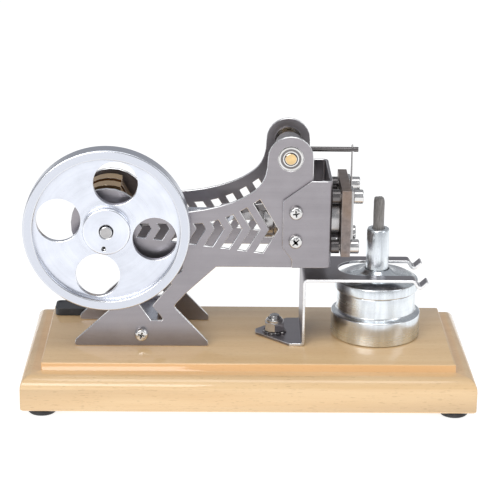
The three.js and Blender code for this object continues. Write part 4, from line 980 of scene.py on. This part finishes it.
class ENGINE_OT_screws(Build, bpy.types.Operator):
    """Pan-head screws of the plates and the cylinder bracket, and the base's hidden screws"""

    bl_idname = "engine.screws"
    bl_label = "Screws"

    def execute(self, context):
        spins = {"front": (-0.28, 0.15, 0.75), "rear": (0.52, -0.15, -0.75)}
        for side, axis in (("front", "-Y"), ("rear", "Y")):
            foot, upper, lower = spins[side]
            pan_screw(f"foot_screw_{side}", axis, foot)
            pan_screw(f"bracket_screw_{side}_upper", axis, upper)
            pan_screw(f"bracket_screw_{side}_lower", axis, lower)
            eased(f"base_screw_{side}", looks("steel"), 1.0)
        return {"FINISHED"}


class ENGINE_OT_brackets(Build, bpy.types.Operator):
    """Bent sheet brackets of the cylinder head and the burner, whose cut edges are painted bright as a
    highlight
    """

    bl_idname = "engine.brackets"
    bl_label = "Brackets"

    def execute(self, context):
        sheet("head_bracket", 2.0)
        sheet("burner_bracket", 2.0, cut=along_y)
        return {"FINISHED"}


class ENGINE_OT_cylinder(Build, bpy.types.Operator):
    """Grooved cylinder with its collar, piston and wrist pin"""

    bl_idname = "engine.cylinder"
    bl_label = "Cylinder"

    def execute(self, context):
        collar, length = extents("cylinder", "X")
        outer, bore, thick, sheet, gap = 10.0, 7.5, 3.0, 1.2, 0.1
        first, pitch, groove = 4.0, 4.6, 0.35
        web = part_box("head_bracket")[1].x - sheet * MM
        shoulder = (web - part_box("cylinder")[0].x) / MM - gap
        profile = [(bore, 0.0), (outer, 0.0)]
        for i in range(3):
            z = first + i * pitch
            profile += [(outer, z), (outer - groove, z + 0.2), (outer - groove, z + 0.9), (outer, z + 1.1)]
        profile += [(outer, shoulder - thick), (collar, shoulder - thick), (collar, shoulder)]
        profile += [(outer, shoulder), (outer, length), (bore, length), (bore, 0.0)]
        turned("cylinder", "X", "turned_steel", profile, 2.0)
        eased("piston", looks("turned_steel", "piston", "X"), 1.2)
        rod("wrist_pin", "Y", "turned_steel", 2.0)
        return {"FINISHED"}


class ENGINE_OT_head(Build, bpy.types.Operator):
    """Port plate, its spacers and cap screws"""

    bl_idname = "engine.head"
    bl_label = "Head"

    def execute(self, context):
        eased("port_plate", looks("iron"), 2.0)
        spins = {"upper_front": 0.2, "upper_rear": 0.5, "lower_front": 0.9, "lower_rear": 0.1}
        for place, spin in spins.items():
            node, bore = f"standoff_{place}", 1.8
            radius, length = extents(node, "X")
            profile = [(bore, 0.0), (radius, 0.0), (radius, length), (bore, length), (bore, 0.0)]
            turned(node, "X", "turned_dark", profile, 1.5)
            cap_screw(f"head_screw_{place}", spin)
        return {"FINISHED"}


class ENGINE_OT_valve(Build, bpy.types.Operator):
    """Sliding valve, its guide and its wire"""

    bl_idname = "engine.valve"
    bl_label = "Valve"

    def execute(self, context):
        eased("valve_guide", looks("guide"), 0.8)
        eased("valve_plate", looks("guide"), 1.5)
        rod("valve_wire", "Z", "turned_steel", 1.2)
        return {"FINISHED"}


class ENGINE_OT_rocker(Build, bpy.types.Operator):
    """Rocker shaft, hub, rod and drop arm"""

    bl_idname = "engine.rocker"
    bl_label = "Rocker"

    def execute(self, context):
        rod("rocker_shaft", "Y", "turned_brass", 3.0)
        eased("rocker_hub", looks("turned_steel", "rocker_hub", "Y"), 2.5)
        # the rod's dark steel is painted reflection of dark surroundings
        eased("rocker_rod", looks("turned_dark", "rocker_rod", "X"), 1.2)
        eased("drop_arm", looks("dark_steel"), 1.2)
        return {"FINISHED"}


class ENGINE_OT_bearings(Build, bpy.types.Operator):
    """Flanged ball bearings with their rings and shields"""

    bl_idname = "engine.bearings"
    bl_label = "Bearings"

    def execute(self, context):
        ring, bore, lip = 5.0, 2.8, 0.7
        inner, outer, wall, sunk = 3.3, 4.3, 0.15, 0.2
        for name in ("rocker", "crank"):
            for side, axis in (("front", "Y"), ("rear", "-Y")):
                node = f"{name}_bearing_{side}"
                flange, length = extents(node, "Y")
                profile = [(bore, 0.0), (inner, 0.0), (inner + wall, 0.22), (outer - wall, 0.22)]
                profile += [(outer, 0.0), (ring, 0.0), (ring, length - lip), (flange, length - lip)]
                profile += [(flange, length), (outer, length), (outer - wall, length - sunk)]
                profile += [(inner + wall, length - sunk), (inner, length), (bore, length), (bore, 0.0)]
                bm = turn_profile(profile)
                for face in bm.faces:
                    middle = face.calc_center_median()
                    if inner + 0.1 < math.hypot(middle.x, middle.y) / MM < outer - 0.1:
                        face.material_index = 2
                surfaces = looks("turned_nickel", node, "Y") + looks("shield")[:1]
                seated(bm, node, axis, surfaces, sharp=math.radians(20))
        return {"FINISHED"}


class ENGINE_OT_crank(Build, bpy.types.Operator):
    """Crankshafts, crank discs, pin, eccentric and the two rods"""

    bl_idname = "engine.crank"
    bl_label = "Crank"

    def execute(self, context):
        for node in ("crankshaft_front", "crankshaft_rear", "crank_pin"):
            rod(node, "Y", "turned_steel", 3.0)
        for side in ("front", "rear"):
            surfaces = looks("turned_bronze", "crankshaft_front", "Y")
            eased(f"crank_disc_{side}", surfaces, 3.0)
        eased("eccentric", looks("turned_bronze", "eccentric", "Y"), 2.0)
        eased("con_rod", looks("aluminium"), 2.0)
        eased("push_rod", looks("dark_steel"), 1.5)
        return {"FINISHED"}


class ENGINE_OT_flywheel(Build, bpy.types.Operator):
    """Turned disc flywheel with four holes, and the grub screw in its hub"""

    bl_idname = "engine.flywheel"
    bl_label = "Flywheel"

    def execute(self, context):
        radius, back = extents("flywheel", "Y")
        rim, recess, hub, proud, bore = 4.2, 2.7, 10.0, 0.4, 2.8
        hole, circle, first = 9.2, 20.3, math.radians(79)
        dimple, dimple_at, dimple_depth = 0.95, (-1.07, -7.3), 1.4
        inner, sides = radius - rim, 144
        web, far = proud + recess, back - recess
        chamfer, nip = 0.4, 0.3
        bm = turn_profile(
            [(bore + 0.35, 0.0), (bore, nip), (bore, back - nip), (bore + nip, back),
             (hub - chamfer, back), (hub, back - chamfer), (hub, far)], sides)
        add_mesh(bm, turn_profile([(hub, web), (hub, 0.5), (hub - 0.5, 0.0)], sides))
        hub_face = open_edges(bm, 0.0)
        loop = loop_of(bm, ring_points(dimple, 0.0, 24, dimple_at))
        bmesh.ops.triangle_fill(bm, use_beauty=True, edges=hub_face + loop)
        sink(bm, loop, -dimple_depth)
        lip, round_off = 0.35, 0.45
        add_mesh(bm, turn_profile(
            [(inner, web), (inner, proud + lip), (inner + lip, proud), (radius - round_off, proud),
             (radius, proud + round_off), (radius, back - round_off), (radius - round_off, back),
             (inner + lip, back), (inner, back - lip), (inner, far)], sides))
        holes = []
        for level in (web, far):
            edges = open_edges(bm, level)
            loops = []
            for i in range(4):
                turn = first + i * math.pi / 2
                spot = (circle * math.cos(turn), circle * math.sin(turn))
                loops.append(loop_of(bm, ring_points(hole, level, 72, spot)))
            holes.append(loops)
            bmesh.ops.triangle_fill(bm, use_beauty=True, edges=edges + sum(loops, []))
        for lower, upper in zip(*holes):
            bmesh.ops.bridge_loops(bm, edges=lower + upper)
        bmesh.ops.recalc_face_normals(bm, faces=bm.faces)
        ease(bm, 2.2)
        # The wheel is made on Z with its face down. Swapping Y and Z turns the face to -Y.
        upright = Matrix.Rotation(math.radians(90), 3, "X")
        bmesh.ops.rotate(bm, verts=bm.verts, cent=(0, 0, 0), matrix=upright)
        bmesh.ops.scale(bm, verts=bm.verts, vec=(1, -1, 1))
        bmesh.ops.reverse_faces(bm, faces=bm.faces)
        bmesh.ops.translate(bm, verts=bm.verts, vec=seat_of("flywheel", "Y"))
        piece(bm, "flywheel", with_recess_shade(looks("flywheel", "flywheel", "Y")))

        radius, length = extents("flywheel_grub_screw", "Z")
        pitch, thread, key, depth, taper = 0.5, 0.22, 0.78, 1.1, 0.95
        profile = [(0.0, 0.0), (radius - 0.4, 0.0)]
        profile += threaded(radius, 0.3, length - 0.4, pitch, thread)
        profile += [(radius - 0.1, length - 0.15), (radius - 0.25, length)]
        bm = headed(profile, ring_points(key, length, 6), depth, taper)
        seated(bm, "flywheel_grub_screw", "Z", with_recess_shade(looks("steel")))
        return {"FINISHED"}


class ENGINE_OT_bolt(Build, bpy.types.Operator):
    """Bolt, toothed washer and lock nut of the burner's bracket"""

    bl_idname = "engine.bolt"
    bl_label = "Bracket bolt"

    def execute(self, context):
        length = extents("bracket_bolt", "Z")[1]
        head, thick, shank, run, tip, thread = 4.4, 3.0, 2.5, 9.5, 0.8, 0.38
        pitch = sizes().thread_pitch / MM
        profile = [(0.0, 0.0), (head - 0.3, 0.0), (head, 0.3), (head, thick), (shank, thick)]
        profile += [(shank, length - run)]
        profile += threaded(shank, length - run + 0.2, length - tip, pitch, thread)
        profile += [(shank - 0.45, length - 0.2), (shank - tip, length), (0.0, length)]
        turned("bracket_bolt", "Z", "turned_steel", profile, 0.5)
        eased("toothed_washer", looks("dark_steel"), 1.0)
        lock_nut()
        return {"FINISHED"}


class ENGINE_OT_burner(Build, bpy.types.Operator):
    """Turned burner: tank, cap and wick tube"""

    bl_idname = "engine.burner"
    bl_label = "Burner"

    def execute(self, context):
        tank, top = extents("burner_tank", "Z")
        neck, waist, wall = 17.0, 11.1, 1.5
        inner = neck - wall
        profile = [(0.0, 0.35), (tank - 3.2, 0.35), (tank - 2.9, 0.0), (tank - 1.0, 0.0)]
        profile += [(tank - 0.3, 0.3), (tank, 1.0), (tank, waist - 0.5), (tank - 0.5, waist)]
        profile += [(neck + 0.5, waist + 0.35), (neck, waist + 1.0), (neck, top - 0.4)]
        profile += [(neck - 0.4, top), (inner, top), (inner, wall), (0.0, wall)]
        turned("burner_tank", "Z", "polished_aluminium", profile, 1.2)

        band, height = extents("burner_cap", "Z")
        hole, skirt, ring, crown, flare = 5.2, 4.0, 4.6, 14.3, 8.0
        plug, rise = inner - 0.3, skirt + ring
        shoulder, collar = rise + 1.5, hole + 0.7
        profile = [(hole, 0.0), (plug, 0.0), (plug, skirt), (band - 0.3, skirt), (band, skirt + 0.3)]
        profile += [(band, rise - 0.7), (band - 0.2, rise - 0.25), (band - 0.7, rise)]
        profile += [(crown + 0.5, shoulder - 0.2), (crown - 0.1, shoulder)]
        saddle = (flare, shoulder + 1.0)
        profile += sweep((crown - 0.6, shoulder + 0.1), saddle, 1.6)
        profile += sweep(saddle, (collar, height - 0.1), 1.25)[1:]
        profile += [(collar - 0.15, height), (hole + 0.15, height), (hole, height - 0.15), (hole, 0.0)]
        turned("burner_cap", "Z", "polished_aluminium", profile, 1.2)

        tube, length = extents("wick_tube", "Z")
        bore, waist = 2.75, tube - 0.5
        collar = (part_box("burner_cap")[1].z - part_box("wick_tube")[0].z) / MM
        profile = [(bore, 0.0), (waist, 0.0), (waist, collar - 0.3), (tube, collar)]
        profile += [(tube, length - 0.9), (tube - 0.3, length - 0.2), (tube - 0.9, length)]
        profile += [(bore + 0.15, length), (bore, length - 0.2), (bore, 0.0)]
        turned("wick_tube", "Z", "polished_aluminium", profile, 1.2)
        return {"FINISHED"}


class ENGINE_OT_wick(Build, bpy.types.Operator):
    """Felt wick with a frayed end"""

    bl_idname = "engine.wick"
    bl_label = "Wick"

    def execute(self, context):
        radius, length = extents("wick", "Z")
        rows, frayed = 70, 3.0
        profile = [(0.0, 0.0)] + [(radius, length * i / rows) for i in range(rows - 1)]
        profile += [(radius - 0.25, length - 0.3), (radius - 0.7, length - 0.05)]
        profile += [(radius * 0.5, length), (0.0, length)]
        bm = turn_profile(profile, 44)
        for v in bm.verts:
            if math.hypot(v.co.x, v.co.y) < MERGE:
                continue
            place = Vector((v.co.x * 900, v.co.y * 900, v.co.z * 260))
            fray = noise.noise(place) * 0.5 + 0.5 * noise.noise(place * 2.7)
            end = max(0.0, min(1.0, (v.co.z / MM - length + frayed) / frayed))
            loss = max(0.0, (0.10 + 0.14 * end) * (fray + 0.6)) * 0.6
            v.co.x *= 1 - loss
            v.co.y *= 1 - loss
            v.co.z -= 0.45 * MM * end * max(0.0, 0.4 + fray)
        seated(bm, "wick", "Z", looks("felt"), sharp=math.radians(60))
        return {"FINISHED"}


class ENGINE_OT_stage(Build, bpy.types.Operator):
    """Pale floor, soft studio light and the camera"""

    bl_idname = "engine.stage"
    bl_label = "Stage"

    def execute(self, context):
        scene = context.scene
        scene.view_settings.view_transform = "Standard"
        bm = bmesh.new()
        reach = 20.0  # far enough for the floor to meet the sky in low views
        bmesh.ops.create_grid(bm, x_segments=1, y_segments=1, size=reach)
        mesh = bpy.data.meshes.new("floor")
        bm.to_mesh(mesh)
        bm.free()
        s = Shader("floor", Roughness=0.9, IOR=1.2)
        s.set(Base_Color=(0.4, 0.4, 0.4), Emission_Color=(1.0, 1.0, 1.0), Emission_Strength=0.84)
        mesh.materials.append(s.material)
        floor = bpy.data.objects.new("floor", mesh)
        scene.collection.objects.link(floor)

        world = bpy.data.worlds.new("studio")
        world.use_nodes = True
        sky = world.node_tree.nodes["Background"].inputs
        sky["Color"].default_value = (0.93, 0.95, 1.0, 1.0)
        sky["Strength"].default_value = 0.42
        scene.world = world

        aim = Vector((0, 0, 50)) * MM
        panels = (  # name, place, width, height, power and colour
            ("key", (-0.5, -1.0, 0.6), 0.8, 0.5, 5.6, (1.0, 0.99, 0.97)),
            ("fill", (0.85, -0.55, 0.6), 0.5, 0.8, 2.4, (0.97, 0.985, 1.0)),
            ("top", (0.0, -0.3, 1.15), 0.9, 0.45, 2.8, (1.0, 1.0, 1.0)),
        )
        for name, place, wide, tall, power, tint in panels:
            lamp = bpy.data.lights.new(name, "AREA")
            lamp.shape, lamp.size, lamp.size_y = "RECTANGLE", wide, tall
            lamp.energy, lamp.color = power, tint
            held = bpy.data.objects.new(name, lamp)
            held.location = place
            held.rotation_euler = (aim - Vector(place)).to_track_quat("-Z", "Y").to_euler()
            scene.collection.objects.link(held)

        camera = bpy.data.cameras.new("camera")
        camera.lens, camera.sensor_width = sizes().lens, 36.0
        camera.clip_start, camera.clip_end = 0.05, 3 * reach
        held = bpy.data.objects.new("camera", camera)
        yaw, pitch, roll = (math.radians(angle) for angle in (-1.14, 18.38, 0.79))
        turn = Matrix.Rotation(yaw, 4, "Z") @ Matrix.Rotation(math.pi / 2 - pitch, 4, "X")
        turn = turn @ Matrix.Rotation(roll, 4, "Z")
        held.matrix_world = Matrix.Translation(Vector((-14.1, -731.0, 303.4)) * MM) @ turn
        scene.collection.objects.link(held)
        scene.camera = held
        return {"FINISHED"}


OPERATORS = (
    ENGINE_OT_base, ENGINE_OT_feet, ENGINE_OT_badge, ENGINE_OT_plates, ENGINE_OT_screws,
    ENGINE_OT_brackets, ENGINE_OT_cylinder, ENGINE_OT_head, ENGINE_OT_valve, ENGINE_OT_rocker,
    ENGINE_OT_bearings, ENGINE_OT_crank, ENGINE_OT_flywheel, ENGINE_OT_bolt, ENGINE_OT_burner,
    ENGINE_OT_wick, ENGINE_OT_stage,
)


class ENGINE_PT_panel(bpy.types.Panel):
    """Lists the pieces and their settings."""

    bl_idname = "ENGINE_PT_panel"
    bl_label = "Flame-licker engine"
    bl_space_type = "VIEW_3D"
    bl_region_type = "UI"
    bl_category = "Engine"

    def draw(self, context):
        for operator in OPERATORS:
            self.layout.operator(operator.bl_idname)
        for group in (context.scene.engine_sizes, context.scene.engine_colours):
            box = self.layout.box()
            for name in group.__annotations__:
                box.prop(group, name)


CLASSES = (EngineSizes, EngineColours, *OPERATORS, ENGINE_PT_panel)


def register():
    for cls in CLASSES:
        bpy.utils.register_class(cls)
    bpy.types.Scene.engine_sizes = PointerProperty(type=EngineSizes)
    bpy.types.Scene.engine_colours = PointerProperty(type=EngineColours)


def unregister():
    del bpy.types.Scene.engine_colours
    del bpy.types.Scene.engine_sizes
    for cls in reversed(CLASSES):
        bpy.utils.unregister_class(cls)


def main():
    register()
    for operator in OPERATORS:
        group, name = operator.bl_idname.split(".")
        getattr(getattr(bpy.ops, group), name)()


if __name__ == "__main__":
    main()
